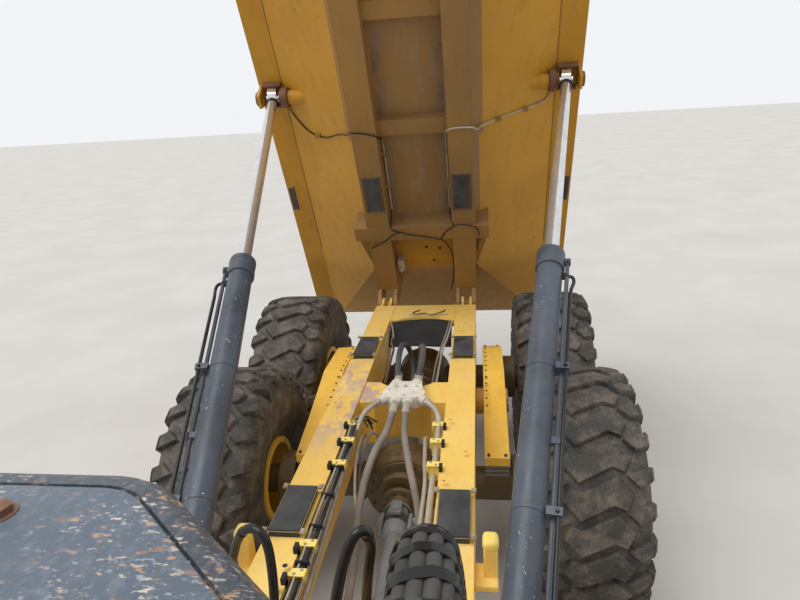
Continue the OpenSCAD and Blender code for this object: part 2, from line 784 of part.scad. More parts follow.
module bumper() color(black) in_truck() {
    half = fender_half - 840;
    difference() {
        union() {
            box([front_nose, bumper_x], [-half, half], [hitch_z - 250, front_top - 60]);
            both_sides() {
                box([bumper_x, front_end], [330, 370], [hitch_z - 150, hitch_z - 30]);
                bar_y(hood_ear_r, hood_hinge[0], hood_ear_y, hood_hinge[1]);
                box([hood_hinge[0] - hood_ear_r, hood_hinge[0] + hood_ear_r], hood_ear_y,
                    [front_top - 61, hood_hinge[1]]);
            }
        }
        both_sides() bar_y(hood_pin_r + fit, hood_hinge[0], [hood_ear_y[0] - 6, hood_ear_y[1] + 1], hood_hinge[1]);
        both_sides() bar_y(30, bumper_x + 45, [329, 371], hitch_z - 90);
        both_sides() box([bumper_x - 60, bumper_x + 1], [600, 820], [hitch_z + 10, hitch_z + 170]);
    }
}

module headlamps() color(glass) in_truck() {
    both_sides() box([bumper_x - 60, bumper_x - 5], [600, 820], [hitch_z + 10, hitch_z + 170]);
}

module front_fenders() color(yellow) in_truck() {
    t = fender_t;
    rear = front_axle_x - 1000;
    front = front_axle_x + 1040;
    low = deck_z - 625;
    mid = [deck_z - 275, deck_z - 225];
    outer = [[rear - t, low], [rear + 140 - t, mid[0]], [rear + 440 - t, deck_z],
        [front - 400 + t, deck_z], [front - 120 + t, mid[1]], [front + t, low]];
    inner = [[front, low], [front - 120, mid[1]], [front - 400, deck_z - t],
        [rear + 440, deck_z - t], [rear + 140, mid[0]], [rear, low]];
    both_sides() {
        side_plate(concat(outer, inner), [fender_in, fender_half]);
        box([front_axle_x - 560, front_axle_x + 640], [fender_in - t, fender_in], [front_top - 70, deck_z]);
        for (x = [front_axle_x - 560, front_axle_x + 540])
            box([x, x + 100], [front_half, fender_in - t], [front_top - 70, front_top]);
    }
}

module steps() color(black) in_truck() {
    post_y = [step_out - 290, step_out - 260];
    for (z = [600 : 330 : 1700]) box(step_x, [post_y[1], step_out], [z, z + 40]);
    for (x = [step_x[0], step_x[1] - 40]) box([x, x + 40], post_y, [560, deck_z - fender_t]);
    box([step_x[0] - 100, step_x[1] + 200], [fender_in, step_out + 40], [deck_z - fender_t, deck_z]);
}

module handrails() color(black) in_truck() {
    rail_z = deck_z + 950;
    for (x = step_x) bar_z(18, x, step_out, [deck_z, rail_z]);
    bar_x(18, step_x, step_out, rail_z);
}

module side_tanks() color(yellow) in_truck() {
    both_sides() box([step_x[0], step_x[0] + 990], [front_half, step_out - 290],
        [front_top - 600, front_top - 30]);
}

module exhaust_stack() color(steel) in_truck() {
    x = front_axle_x + 620;
    bar_z(85, x, -fender_in - 130, [deck_z, deck_z + 900]);
    bar_z(55, x, -fender_in - 130, [deck_z + 900, deck_z + 1350]);
}

module seat() color(rubber) in_truck() {
    x = cab_x[0] + 200;
    box([x + 180, x + 480], [-150, 150], [cab_z + 60, cab_z + 330]);
    box([x + 100, x + 620], [-260, 260], [cab_z + 330, cab_z + 460]);
    box([x, x + 120], [-250, 250], [cab_z + 460, cab_z + 1080]);
}

module driver_console() color(black) in_truck() {
    box([door_x[1], cab_x[1] - cab_t], [-500, 500], [cab_z + 60, cab_z + 640]);
    translate([door_x[1], 0, cab_z + 640]) rotate([0, -125, 0]) {
        bar_x(25, [-60, 120], 0, 0);
        translate([120, 0, 0]) rotate([0, 90, 0]) rotate_extrude() translate([200, 0]) circle(16);
        box([112, 126], [-200, 200], [-20, 20]);
    }
}

module mirrors() color(black) in_truck() {
    both_sides() {
        bar_z(16, front_axle_x + 560, fender_half - 60, [deck_z, deck_z + 950]);
        box([front_axle_x + 530, front_axle_x + 590], [fender_half - 200, fender_half - 20],
            [deck_z + 950, deck_z + 1330]);
    }
}

// A steering cylinder's own frame: along it from its base pin, and across
module in_steering(side) {
    in_truck() on_side(side) translate([hitch_x + base_x, base_y, steer_z])
        rotate([0, 0, steer_heading]) children();
}

module steering_barrel(side) color(black) in_steering(side) {
    difference() {
        union() {
            bar_z(steer_eye_r, 0, 0, [-steer_eye_half, steer_eye_half]);
            box([steer_eye_r - 15, 100], [-25, 25], [-25, 25]);
            bar_x(steer_r, [steer_eye_r + 5, steer_len], 0, 0);
        }
        bar_z(25 + fit, 0, 0, [-steer_eye_half - 1, steer_eye_half + 1]);
        bar_x(steer_r - 12, [90, steer_len - 40], 0, 0);
        bar_x(steer_rod_r + fit, [90, steer_len + 1], 0, 0);
    }
}

module steering_barrel_left() { steering_barrel(1); }

module steering_barrel_right() { steering_barrel(-1); }

module steering_rod(side) color(steel) in_steering(side) {
    piston_x = steer_len - 335;
    bar_x(steer_r - 12 - fit, [piston_x, piston_x + 40], 0, 0);
    bar_x(steer_rod_r, [piston_x, steer_span - steer_eye_r + 10], 0, 0);
    bar_z(steer_eye_r, steer_span, 0, [-steer_eye_half, steer_eye_half]);
}

module steering_rod_left() { steering_rod(1); }

module steering_rod_right() { steering_rod(-1); }

// A wheel's own frame: its axis is local Z, outwards from the truck
module in_wheel(w) {
    in_truck() on_side(w[2]) translate([w[1], half_track, tyre_r]) rotate([-90, 0, 0]) children();
}

module tyre(w) color(rubber) in_wheel(w) {
    half = tyre_w / 2;
    bead = rim_w / 2 - 25;
    r = tyre_r;
    seat = rim_d / 2 + fit;
    wall = [[seat, bead], [seat + 32, bead], [seat + 60, bead + 15], [r * 0.62, half], [r * 0.76, half], [r * 0.88, half - 14],
        [r * 0.95, half - 40], [r * 0.99, half - 90], [r, half - 190]];
    hollow = [[seat, bead - 50], [seat + 90, bead - 30], [r * 0.62, half - 38], [r * 0.78, half - 42],
        [r * 0.88, half - 110], [r * 0.9, half - 250]];
    rotate_extrude($fn = 72) difference() {
        polygon(concat(wall, [for (i = [len(wall) - 1 : -1 : 0]) [wall[i][0], -wall[i][1]]]));
        polygon(concat(hollow, [for (i = [len(hollow) - 1 : -1 : 0]) [hollow[i][0], -hollow[i][1]]]));
    }
}

module rim(w) color(yellow) in_wheel(w) {
    half = rim_w / 2;
    seat = rim_d / 2;
    hub_r = 205;
    difference() {
        union() {
            rotate_extrude($fn = 72) {
                polygon([[seat - 22, -half], [seat + 28, -half], [seat + 28, -half + 24], [seat, -half + 24],
                    [seat, half - 24], [seat + 28, half - 24], [seat + 28, half], [seat - 22, half]]);
                polygon([[hub_r - 1, 40], [seat - 21, 70], [seat - 21, 95], [hub_r - 1, 65]]);
            }
            translate([0, 0, -60]) cylinder(r = hub_r, h = 300);
        }
        translate([0, 0, -61]) cylinder(r = spindle_r + fit, h = 221);
    }
}

rear_frame_beams();
rear_frame_crossmembers();
hoist_brackets();
rear_tow_eye();
body_pads();
walking_beam_left();
walking_beam_right();
suspension_blocks();
mid_axle();
rear_axle();
propshafts();
hydraulic_manifold();
rear_lamps();
dump_body();
body_rails();
hoist_barrel_left();
hoist_barrel_right();
hoist_rod_left();
hoist_rod_right();
hitch_yoke();
front_frame();
front_axle();
engine();
radiator();
cab_shell();
cab_roof();
cab_glass();
cab_door();
door_glass();
hood();
grille();
bumper();
headlamps();
front_fenders();
steps();
handrails();
side_tanks();
exhaust_stack();
seat();
driver_console();
mirrors();
steering_barrel_left();
steering_barrel_right();
steering_rod_left();
steering_rod_right();
for (w = WHEELS) {
    tyre(w);
    rim(w);
}
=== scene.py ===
import json
import math

import bmesh
import bpy
from mathutils import Matrix, Vector


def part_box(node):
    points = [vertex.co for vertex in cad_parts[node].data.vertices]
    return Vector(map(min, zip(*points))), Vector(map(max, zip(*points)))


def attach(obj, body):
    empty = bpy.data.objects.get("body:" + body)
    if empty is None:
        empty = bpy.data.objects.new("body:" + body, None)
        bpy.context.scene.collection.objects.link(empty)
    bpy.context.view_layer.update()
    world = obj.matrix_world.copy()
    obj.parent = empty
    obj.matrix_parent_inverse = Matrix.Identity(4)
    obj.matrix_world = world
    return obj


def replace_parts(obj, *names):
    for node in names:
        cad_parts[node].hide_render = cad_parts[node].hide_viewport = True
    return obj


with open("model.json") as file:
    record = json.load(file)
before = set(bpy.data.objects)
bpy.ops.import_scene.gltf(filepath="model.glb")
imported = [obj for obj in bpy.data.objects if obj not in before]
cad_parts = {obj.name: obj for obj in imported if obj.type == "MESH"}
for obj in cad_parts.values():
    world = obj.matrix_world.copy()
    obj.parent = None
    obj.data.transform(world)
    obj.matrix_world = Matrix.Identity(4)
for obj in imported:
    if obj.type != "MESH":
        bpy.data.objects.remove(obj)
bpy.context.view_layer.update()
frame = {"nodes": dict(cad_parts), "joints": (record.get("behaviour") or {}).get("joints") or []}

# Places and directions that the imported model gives
JOINTS = {j["name"]: j for j in frame["joints"]}
SIDES = {"left": 1, "right": -1}
WHEELS = {f"{row}_{side}": s for row in ("front", "mid", "rear") for side, s in SIDES.items()}


def middle(node, axis):
    low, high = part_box(node)
    return (low[axis] + high[axis]) / 2


REAR_AXLE = middle("tyre_rear_left", 0)
MID_AXLE = middle("tyre_mid_left", 0) - REAR_AXLE
FRONT_AXLE = middle("tyre_front_left", 0) - REAR_AXLE
HALF_TRACK = middle("tyre_rear_left", 1)
TYRE_R = middle("tyre_rear_left", 2)
TYRE_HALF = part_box("tyre_rear_left")[1][1] - HALF_TRACK
FRAME_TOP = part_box("rear_frame_beams")[1][2]
FRAME_HALF = 0.59
FRAME_IN = 0.36
TIP = math.radians(65)

# Frames of reference: the truck's, measured from the rearmost axle, and the raised body's,
# measured from its hinge along the floor, across, and up
TRUCK = Matrix.Translation((REAR_AXLE, 0, 0))
BODY = Matrix.Translation(JOINTS["dump"]["pos_m"]) @ Matrix.Rotation(-TIP, 4, "Y")


def hoist_frame(side):
    """Along a hoist cylinder from its ball, and across it, with +Y towards the truck's middle"""
    ball = Vector(JOINTS["hoist_tilt_left"]["pos_m"])
    along = Vector(JOINTS["hoist_slide_left"]["axis"])
    heading = math.atan2(along.y, along.x)
    pitch = math.asin(along.z)
    turned = Matrix.Rotation(heading, 4, "Z") @ Matrix.Rotation(-pitch, 4, "Y")
    return Matrix.Diagonal((1, SIDES[side], 1, 1)) @ Matrix.Translation(ball) @ turned


def wheel_frame(wheel):
    """A wheel's middle, with +Z along its axle and away from the truck"""
    s = WHEELS[wheel]
    low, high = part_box(f"tyre_{wheel}")
    centre = [(a + b) / 2 for a, b in zip(low, high)]
    return Matrix.Translation(centre) @ Matrix.Diagonal((1, s, 1, 1)) @ Matrix.Rotation(-math.pi / 2, 4, "X")


def rgb(r, g, b):
    """A colour written as screen values of 0 to 255"""
    def linear(c):
        c /= 255
        return c / 12.92 if c <= 0.04045 else ((c + 0.055) / 1.055) ** 2.4
    return (linear(r), linear(g), linear(b), 1)


class Surface:
    """A material whose colour, roughness and bump are built up from patterns in the object's space"""

    def __init__(self, name, colour, rough=0.5, metal=0.0):
        self.material = bpy.data.materials.new(name)
        self.material.use_nodes = True
        self.nodes = self.material.node_tree.nodes
        self.links = self.material.node_tree.links
        self.shader = self.nodes["Principled BSDF"].inputs
        self.put(self.shader["Roughness"], rough)
        self.put(self.shader["Metallic"], metal)
        self.put(self.shader["Specular IOR Level"], 0.5 if rough < 0.2 else 0.35)
        self.place = self.nodes.new("ShaderNodeTexCoord").outputs
        self.colour = rgb(*colour)
        self.height = None

    def put(self, socket, value):
        """Sets a socket to a value, or links it where the value comes from another node"""
        if isinstance(value, bpy.types.NodeSocket):
            self.links.new(value, socket)
        else:
            socket.default_value = value

    def node(self, kind, **values):
        made = self.nodes.new("ShaderNode" + kind)
        for name, value in values.items():
            self.put(made.inputs[name.replace("_", " ")], value)
        return made

    def math(self, operation, a, b):
        node = self.node("Math")
        node.operation = operation
        self.put(node.inputs[0], a)
        self.put(node.inputs[1], b)
        return node.outputs[0]

    def times(self, value, *factors):
        for factor in factors:
            value = self.math("MULTIPLY", value, factor)
        return value

    def noise(self, scale, stretch=(1, 1, 1), detail=4.0, rough=0.55, low=0.35, high=0.65):
        """Noise between low and high, spread to 0 to 1"""
        place = self.node("Mapping", Scale=stretch, Vector=self.place["Object"]).outputs["Vector"]
        node = self.node("TexNoise", Scale=scale, Detail=detail, Roughness=rough, Vector=place)
        return self.spread(node.outputs["Fac"], low, high)

    def spread(self, value, low, high, to_low=0.0, to_high=1.0):
        return self.node("MapRange", Value=value, From_Min=low, From_Max=high,
                         To_Min=to_low, To_Max=to_high).outputs["Result"]

    def facing(self, axis, low, high):
        """How far the surface faces along an axis of the object"""
        return self.spread(self.node("SeparateXYZ", Vector=self.place["Normal"]).outputs[axis], low, high)

    def along(self, axis, low, high):
        """A ramp along an axis of the object, in metres"""
        return self.spread(self.node("SeparateXYZ", Vector=self.place["Object"]).outputs[axis], low, high)

    def tint(self, colour, *amounts):
        """Lays a colour over what is there, as far as the amounts say when they are multiplied"""
        node = self.node("Mix")
        node.data_type = "RGBA"
        self.put(node.inputs["Factor"], self.times(*amounts))
        self.put(node.inputs["A"], self.colour)
        self.put(node.inputs["B"], rgb(*colour))
        self.colour = node.outputs["Result"]

    def roughen(self, value, low, high):
        self.put(self.shader["Roughness"], self.spread(value, 0, 1, low, high))

    def bump(self, value, distance, strength):
        node = self.node("Bump", Strength=strength, Distance=distance, Height=value)
        if self.height is not None:
            self.put(node.inputs["Normal"], self.height)
        self.height = node.outputs["Normal"]

    def done(self):
        self.put(self.shader["Base Color"], self.colour)
        if self.height is not None:
            self.put(self.shader["Normal"], self.height)
        return self.material


DUST = (178, 160, 138)
MUD = (112, 92, 72)
RUST = (112, 58, 30)


def paint(name, colour, shade, dust, stains, chips, chip_colour=RUST, patches=None):
    """Painted plate: broad changes of tone, dust on what faces up, run-down stains, and chips"""
    s = Surface(name, colour)
    fine = s.noise(11, detail=6, rough=0.65)
    s.tint(shade, s.noise(0.9, detail=3), 0.55)
    s.tint(MUD, s.noise(46, detail=5, rough=0.7, low=0.56, high=0.72), stains)
    s.tint(MUD, s.noise(5.5, (1.6, 1.6, 0.16), detail=5, low=0.54, high=0.8), stains)
    s.tint(DUST, s.facing(2, 0.35, 0.98), fine, dust)
    s.tint(chip_colour, s.noise(17, detail=8, rough=0.75, low=0.67, high=0.69), chips)
    if patches:
        patches(s)
    s.roughen(fine, 0.38, 0.62)
    s.bump(fine, 0.002, 0.25)
    return s.done()


def worn_beams(s):
    """Paint worn through to grey and pale pink primer between the pads, and dust along the beams"""
    near = s.times(s.along(0, REAR_AXLE + 0.95, REAR_AXLE + 1.35),
                   s.along(0, REAR_AXLE + 2.75, REAR_AXLE + 2.05))
    top = s.facing(2, 0.6, 0.9)
    broken = s.noise(3.4, (1, 2.2, 1), detail=9, rough=0.72, low=0.46, high=0.54)
    worn = s.times(near, s.times(s.along(1, 0.1, -0.3), top), broken)
    s.tint((190, 164, 156), worn)
    s.tint((140, 130, 132), s.noise(30, detail=6, rough=0.8, low=0.6, high=0.66), worn)
    s.tint((244, 220, 166), s.noise(2.1, detail=8, rough=0.7, low=0.52, high=0.7), top, 0.35)


def floor_dirt_and_shade(s):
    """Grime on the middle of the body's underside, rust, painted shade as a darker, deeper yellow low on the
    faces that look ahead, and bright worn steel inside the body
    """
    rails_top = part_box("body_rails")[1][2]
    high = s.times(s.along(2, 2.1, 2.7), s.along(2, rails_top + 0.05, rails_top - 0.1),
                   s.facing(0, -0.1, 0.1))
    centre = s.times(s.along(1, -0.4, -0.34), s.along(1, 0.4, 0.34), high)
    grime = s.noise(1.6, (1, 1, 0.5), detail=7, rough=0.6, low=0.2, high=0.75)
    s.tint((140, 114, 84), centre, s.spread(grime, 0, 1, 0.55, 0.95))
    edges = s.math("MAXIMUM", s.along(1, 0.2, 0.32), s.along(1, -0.2, -0.32))
    s.tint((96, 94, 98), centre, edges, s.noise(4, detail=6, low=0.36, high=0.6), 0.75)
    ahead = s.facing(0, 0.2, 0.5)
    s.tint((92, 52, 22), s.noise(7, (1, 1, 0.6), detail=7, rough=0.7, low=0.68, high=0.71), ahead, 0.8)
    # Painted shade: a darker, deeper yellow low down on the faces that look ahead
    s.tint((168, 120, 14), s.along(2, 2.05, 1.85), ahead, 0.8)
    s.tint((156, 142, 116), centre, s.noise(3.5, (2.2, 2.2, 0.12), detail=6, low=0.5, high=0.72), 0.55)
    inside = s.noise(2.6, detail=8, rough=0.7, low=0.3, high=0.55)
    s.tint((122, 112, 104), s.facing(0, -0.35, -0.75), inside, 0.75)


def rubber(name, colour, dust_colour, dust, scale=20, coat=0.0):
    s = Surface(name, colour, 0.85)
    patches = s.noise(scale / 6, detail=5)
    s.tint(dust_colour, patches, dust)
    s.roughen(patches, 0.65, 0.95)
    s.bump(s.noise(scale * 8), 0.0015, 0.5)
    s.put(s.shader["Coat Weight"], coat)
    return s.done()


def steel(name, colour, rough, dirt, metal=1.0):
    s = Surface(name, colour, metal=metal)
    patches = s.noise(9, detail=6, rough=0.65)
    s.tint(MUD, patches, dirt)
    s.roughen(patches, *rough)
    s.bump(s.noise(60, detail=3), 0.0008, 0.3)
    return s.done()


def chrome(name):
    s = Surface(name, (226, 227, 228), 0.12, 0.75)
    film = s.noise(7, (0.3, 2, 2))
    s.tint((150, 146, 140), film, 0.25)
    s.roughen(film, 0.08, 0.24)
    return s.done()


def barrel_paint(name):
    """Blue-grey satin paint with white scratches, thicker in patches"""
    s = Surface(name, (60, 68, 80))
    s.tint((88, 98, 112), s.noise(1.6, detail=3), 0.7)
    dirt = s.noise(8, detail=6)
    s.tint((112, 108, 102), dirt, 0.22)
    nicks = s.noise(38, (1, 1, 0.6), detail=7, rough=0.8, low=0.635, high=0.65)
    s.tint((236, 238, 236), nicks, s.noise(2.2, detail=2, low=0.5, high=0.6))
    s.roughen(dirt, 0.26, 0.46)
    s.bump(dirt, 0.001, 0.2)
    return s.done()


# Freckles on the roof: scale of the noise, where it cuts in, and colour
FRECKLES = ((95, 0.61, (214, 168, 126)), (170, 0.6, (226, 210, 190)),
            (60, 0.63, (196, 140, 96)), (260, 0.61, (178, 184, 192)))


def roof_paint(name, colour, pale, freckled):
    """The weathered blue-grey roof: clouded film, and dust and rust in freckles drawn out by the rain"""
    s = Surface(name, colour)
    clouds = s.noise(3.2, detail=6)
    s.tint(pale, clouds, 0.7)
    mottles = s.noise(70, (1, 1.6, 1), detail=8, rough=0.75, low=0.48, high=0.7)
    s.tint((168, 172, 180), mottles, 0.3)
    sparse = s.times(s.noise(5, detail=3, low=0.34, high=0.56), freckled)
    for scale, low, tone in FRECKLES:
        s.tint(tone, s.noise(scale, (1.0, 0.42, 1.0), rough=0.6, low=low, high=low + 0.045), sparse)
    s.roughen(clouds, 0.34, 0.6)
    s.bump(mottles, 0.0012, 0.25)
    return s.done()


def glass(name):
    s = Surface(name, (196, 208, 210), 0.04)
    s.roughen(s.noise(3, detail=5), 0.03, 0.12)
    s.put(s.shader["Transmission Weight"], 0.85)
    s.put(s.shader["IOR"], 1.45)
    return s.done()


def tyre_rubber(name):
    """Black rubber with dried mud on the tread's tips and in its grooves"""
    s = Surface(name, (72, 69, 66), 0.85)
    s.tint((90, 86, 82), s.noise(2.2))
    patches = s.noise(7, detail=8, rough=0.7, low=0.46, high=0.68)
    s.tint((160, 147, 132), patches, 0.72)
    fine = s.noise(60, detail=6, rough=0.75)
    s.tint((42, 40, 39), fine, 0.4)
    s.tint((158, 148, 134), s.noise(95, detail=3, rough=0.7, low=0.66, high=0.7), 0.5)
    s.roughen(patches, 0.7, 0.95)
    s.bump(fine, 0.003, 0.6)
    return s.done()


def lamp_lens(name, colour):
    s = Surface(name, colour, 0.12)
    ribs = s.noise(40, (1, 6, 0.2), detail=2)
    s.tint((250, 240, 235), ribs, 0.12)
    s.bump(ribs, 0.002, 0.5)
    s.put(s.shader["Coat Weight"], 0.6)
    return s.done()


def cloth(name, colour):
    s = Surface(name, colour, 0.9)
    weave = s.noise(500, detail=2)
    s.tint((70, 70, 74), weave, 0.5)
    s.bump(weave, 0.0008, 0.7)
    s.put(s.shader["Sheen Weight"], 0.3)
    return s.done()


# Paints: colour, shade, dust, stains and chips. Rubbers: colour, dust's colour and amount, scale.
# Steels: colour, lowest and highest roughness, dirt, how metallic
YELLOW = paint("yellow_paint", (250, 203, 84), (240, 182, 56), 0.15, 0.2, 0.8)
FRAME_YELLOW = paint("frame_yellow", (252, 211, 112), (243, 192, 80), 0.15, 0.14, 0.8, patches=worn_beams)
BODY_YELLOW = paint("body_yellow", (206, 152, 44), (176, 124, 30), 0.2, 0.3, 0.7, patches=floor_dirt_and_shade)
RAIL_YELLOW = paint("rail_yellow", (168, 127, 66), (126, 102, 74), 0.2, 0.5, 0.6)
DIRTY_YELLOW = paint("axle_yellow", (108, 88, 54), (68, 60, 50), 0.3, 0.8, 0.4)
BRIGHT_YELLOW = paint("bright_yellow", (255, 228, 124), (252, 214, 96), 0.04, 0.06, 0.3)
BLACK = paint("black_paint", (34, 34, 37), (52, 52, 55), 0.35, 0.3, 0.5, (120, 116, 110))
DARK_STEEL = paint("dark_steel", (72, 72, 76), (56, 52, 50), 0.6, 0.8, 0.5)
RUSTY = paint("rusty_steel", (122, 84, 64), (96, 60, 42), 0.3, 0.5, 0.8)
SHAFT_GREY = paint("shaft_grey", (140, 147, 154), (92, 93, 94), 0.2, 0.4, 0.3)
BARREL = barrel_paint("barrel_paint")
ROOF = roof_paint("roof_paint", (90, 102, 116), (122, 134, 148), 1.0)
ROOF_EDGE = roof_paint("roof_edge_paint", (66, 73, 82), (104, 110, 118), 0.9)
CHROME = chrome("chrome")
STEEL = steel("pale_steel", (196, 188, 174), (0.4, 0.65), 0.35, 0.35)
CAST = steel("cast_steel", (238, 232, 220), (0.45, 0.7), 0.3, 0.1)
PAD_RIM = steel("pad_rim", (168, 150, 116), (0.5, 0.75), 0.5, 0.1)
STAINLESS = steel("stainless", (176, 174, 170), (0.22, 0.42), 0.2)
RUBBER = rubber("rubber", (44, 45, 48), (104, 104, 102), 0.55)
HOSE = rubber("hose_rubber", (66, 68, 74), (128, 122, 114), 0.45, 30)
DUSTY_HOSE = rubber("dusty_hose", (122, 114, 106), (164, 152, 140), 0.6, 30)
GLOSSY = rubber("glossy_rubber", (10, 10, 12), (30, 32, 36), 0.3, 14, coat=0.5)
CABLES = rubber("cable_bundle", (90, 88, 84), (52, 51, 48), 0.5, 26)
LINING = rubber("cab_lining", (88, 86, 82), (120, 116, 108), 0.3)
PLASTIC = rubber("moulded_plastic", (30, 30, 32), (90, 88, 84), 0.25)
TYRE = tyre_rubber("tyre_rubber")
GLASS = glass("glass")
RED_LENS = lamp_lens("red_lens", (150, 20, 16))
CLEAR_LENS = lamp_lens("clear_lens", (222, 226, 228))
CLOTH = cloth("seat_cloth", (40, 40, 44))
PIPING = cloth("seat_piping", (24, 24, 26))

# The record's slot that each material stands for, unless a piece names another
SLOTS = {
    "yellow_paint": (YELLOW, FRAME_YELLOW, RAIL_YELLOW, DIRTY_YELLOW, BRIGHT_YELLOW),
    "dark_steel": (DARK_STEEL, RUSTY, SHAFT_GREY, STEEL, CAST, PAD_RIM, STAINLESS),
    "black_paint": (BARREL, ROOF, ROOF_EDGE), "rubber": (HOSE, DUSTY_HOSE, GLOSSY, CABLES, PLASTIC),
    "plastic": (LINING,), "tyre": (TYRE,), "glass": (GLASS, CLEAR_LENS), "chrome": (CHROME,),
    "seat_cloth": (CLOTH, PIPING)}

# Finishes of the model's own nodes, by how their names start. The rest are yellow
FINISHES = {
    "tyre_": TYRE, "hoist_barrel": BARREL, "steering_barrel": BARREL, "hoist_rod": CHROME,
    "steering_rod": CHROME, "dump_body": BODY_YELLOW, "body_rails": RAIL_YELLOW, "mid_axle": DIRTY_YELLOW,
    "rear_axle": DIRTY_YELLOW, "front_axle": DIRTY_YELLOW, "rear_frame_": FRAME_YELLOW, "body_pads": RUBBER,
    "suspension_blocks": DUSTY_HOSE, "propshafts": SHAFT_GREY, "hydraulic_manifold": STEEL,
    "engine": DARK_STEEL, "radiator": BLACK, "cab_roof": ROOF, "bumper": BLACK, "steps": BLACK,
    "handrails": BLACK, "grille": BLACK, "cab_glass": GLASS, "door_glass": GLASS, "headlamps": PLASTIC,
    "rear_lamps": RED_LENS, "seat": CLOTH, "driver_console": PLASTIC, "mirrors": PLASTIC,
    "exhaust_stack": STAINLESS}


def dress_nodes():
    for name, node in frame["nodes"].items():
        material = next((m for start, m in FINISHES.items() if name.startswith(start)), YELLOW)
        if not node.data.materials:
            node.data.materials.append(material)
        for slot in node.material_slots:
            slot.material = material


def wall(n, rings, closed=False):
    """Faces between rings of n points each, and from the last back to the first where closed"""
    pairs = [(i * n, (i + 1) % rings * n) for i in range(rings if closed else rings - 1)]
    return [(a + k, a + (k + 1) % n, b + (k + 1) % n, b + k) for a, b in pairs for k in range(n)]


class Shape:
    """A mesh put together from simple solids, drawn in a frame of reference"""

    def __init__(self, place=TRUCK):
        self.mesh = bmesh.new()
        self.place = place

    def add(self, points, faces):
        made = [self.mesh.verts.new(self.place @ Vector(p)) for p in points]
        for face in faces:
            self.mesh.faces.new([made[i] for i in face])

    def box(self, x, y, z):
        points = [(a, b, c) for a in x for b in y for c in z]
        self.add(points, [(0, 1, 3, 2), (4, 6, 7, 5), (0, 4, 5, 1), (2, 3, 7, 6), (0, 2, 6, 4), (1, 5, 7, 3)])

    def drawn(self, start, end):
        """A solid between an outline and the same outline moved"""
        n = len(start)
        self.add(start + end, [tuple(range(n)), tuple(range(2 * n - 1, n - 1, -1))] + wall(n, 2))

    def prism(self, outline, span, axis):
        """An outline in the two other axes, taken in order, drawn out along an axis"""
        ends = [[(*p[:axis], end, *p[axis:]) for p in outline] for end in span]
        self.drawn(*ends)

    def stack(self, rings, low_cap=True, high_cap=True):
        """Walls between rings of points, each ring with as many as the next"""
        n, last = len(rings[0]), len(rings) * len(rings[0])
        faces = wall(n, len(rings))
        if low_cap:
            faces.append(tuple(range(n)))
        if high_cap:
            faces.append(tuple(range(last - 1, last - n - 1, -1)))
        self.add([p for ring_points in rings for p in ring_points], faces)

    def tube(self, path, r, sides=12):
        """A round tube along a path, its radius one number or one for each point"""
        path = [Vector(p) for p in path]
        radii = r if isinstance(r, (list, tuple)) else [r] * len(path)
        n = len(path)
        across, rings = None, []
        for i in range(n):
            run = (path[min(i + 1, n - 1)] - path[max(i - 1, 0)]).normalized()
            across = across or run.orthogonal().normalized()
            across = (across - run * across.dot(run)).normalized()
            over = run.cross(across)
            turns = [2 * math.pi * k / sides for k in range(sides)]
            rings.append([path[i] + (across * math.cos(a) + over * math.sin(a)) * radii[i] for a in turns])
        self.stack(rings)

    def bolt(self, at, axis, r, h):
        """A hexagon head on a washer, standing on a surface"""
        at, axis = Vector(at), Vector(axis).normalized()
        self.tube([at, at + axis * h * 0.25], r * 1.45, 12)
        self.tube([at + axis * h * 0.25, at + axis * h * 0.85, at + axis * h], [r, r, r * 0.82], 6)

    def bolt_circle(self, centre, axis, around, count, r, h, start=0.0):
        """Bolts round a place, standing along axis 0, 1 or 2, or against it where axis is (number, -1)"""
        number, way = axis if isinstance(axis, tuple) else (axis, 1)
        for k in range(count):
            a = 2 * math.pi * (k + start) / count
            at = [around * math.cos(a), around * math.sin(a)]
            at.insert(number, 0)
            stands = [0, 0, 0]
            stands[number] = way
            self.bolt([c + d for c, d in zip(centre, at)], stands, r, h)

    def lathe(self, profile, steps=48, closed=False):
        """A profile of (radius, height) turned about the frame's Z axis"""
        points = [(r * math.cos(2 * math.pi * k / steps), r * math.sin(2 * math.pi * k / steps), z)
                  for r, z in profile for k in range(steps)]
        self.add(points, wall(steps, len(profile), closed))

    def lathe_at(self, place, profile, steps, closed=False):
        """The same about the Z axis of a place within the frame"""
        kept = self.place
        self.place = kept @ place
        self.lathe(profile, steps, closed)
        self.place = kept

    def piece(self, name, body, material, bevel=0.0, slot=None, smooth=38):
        bmesh.ops.recalc_face_normals(self.mesh, faces=self.mesh.faces)
        data = bpy.data.meshes.new(name)
        self.mesh.to_mesh(data)
        self.mesh.free()
        data.shade_smooth()
        data.set_sharp_from_angle(angle=math.radians(smooth))
        data.materials.append(material)
        made = bpy.data.objects.new(name, data)
        bpy.context.scene.collection.objects.link(made)
        if bevel:
            edges = made.modifiers.new("edges", "BEVEL")
            edges.width = bevel
            edges.segments = 2
            edges.limit_method = "ANGLE"
            edges.angle_limit = math.radians(40)
        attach(made, body)
        slot or next(name for name, group in SLOTS.items() if material in group)
        return made


def span(s, a, b):
    """A range on one side of the truck's middle, lower end first"""
    return sorted((s * a, s * b))


def mirrored(outline, s):
    """An outline of (across, up) on one side, turned the same way round on both"""
    points = [(s * y, n) for y, n in outline]
    return points if s > 0 else points[:1] + points[:0:-1]


def eased(points, per_span=8):
    """A smooth path through the points of a route"""
    p = [Vector(q) for q in points]
    p = [2 * p[0] - p[1]] + p + [2 * p[-1] - p[-2]]
    path = []
    for i in range(1, len(p) - 2):
        for k in range(per_span):
            t = k / per_span
            path.append(0.5 * (2 * p[i] + (p[i + 1] - p[i - 1]) * t
                               + (2 * p[i - 1] - 5 * p[i] + 4 * p[i + 1] - p[i + 2]) * t * t
                               + (3 * p[i] - p[i - 1] - 3 * p[i + 1] + p[i + 2]) * t ** 3))
    path.append(p[-2])
    return path


PITCHES = 24
TREAD_DEPTH = 0.04
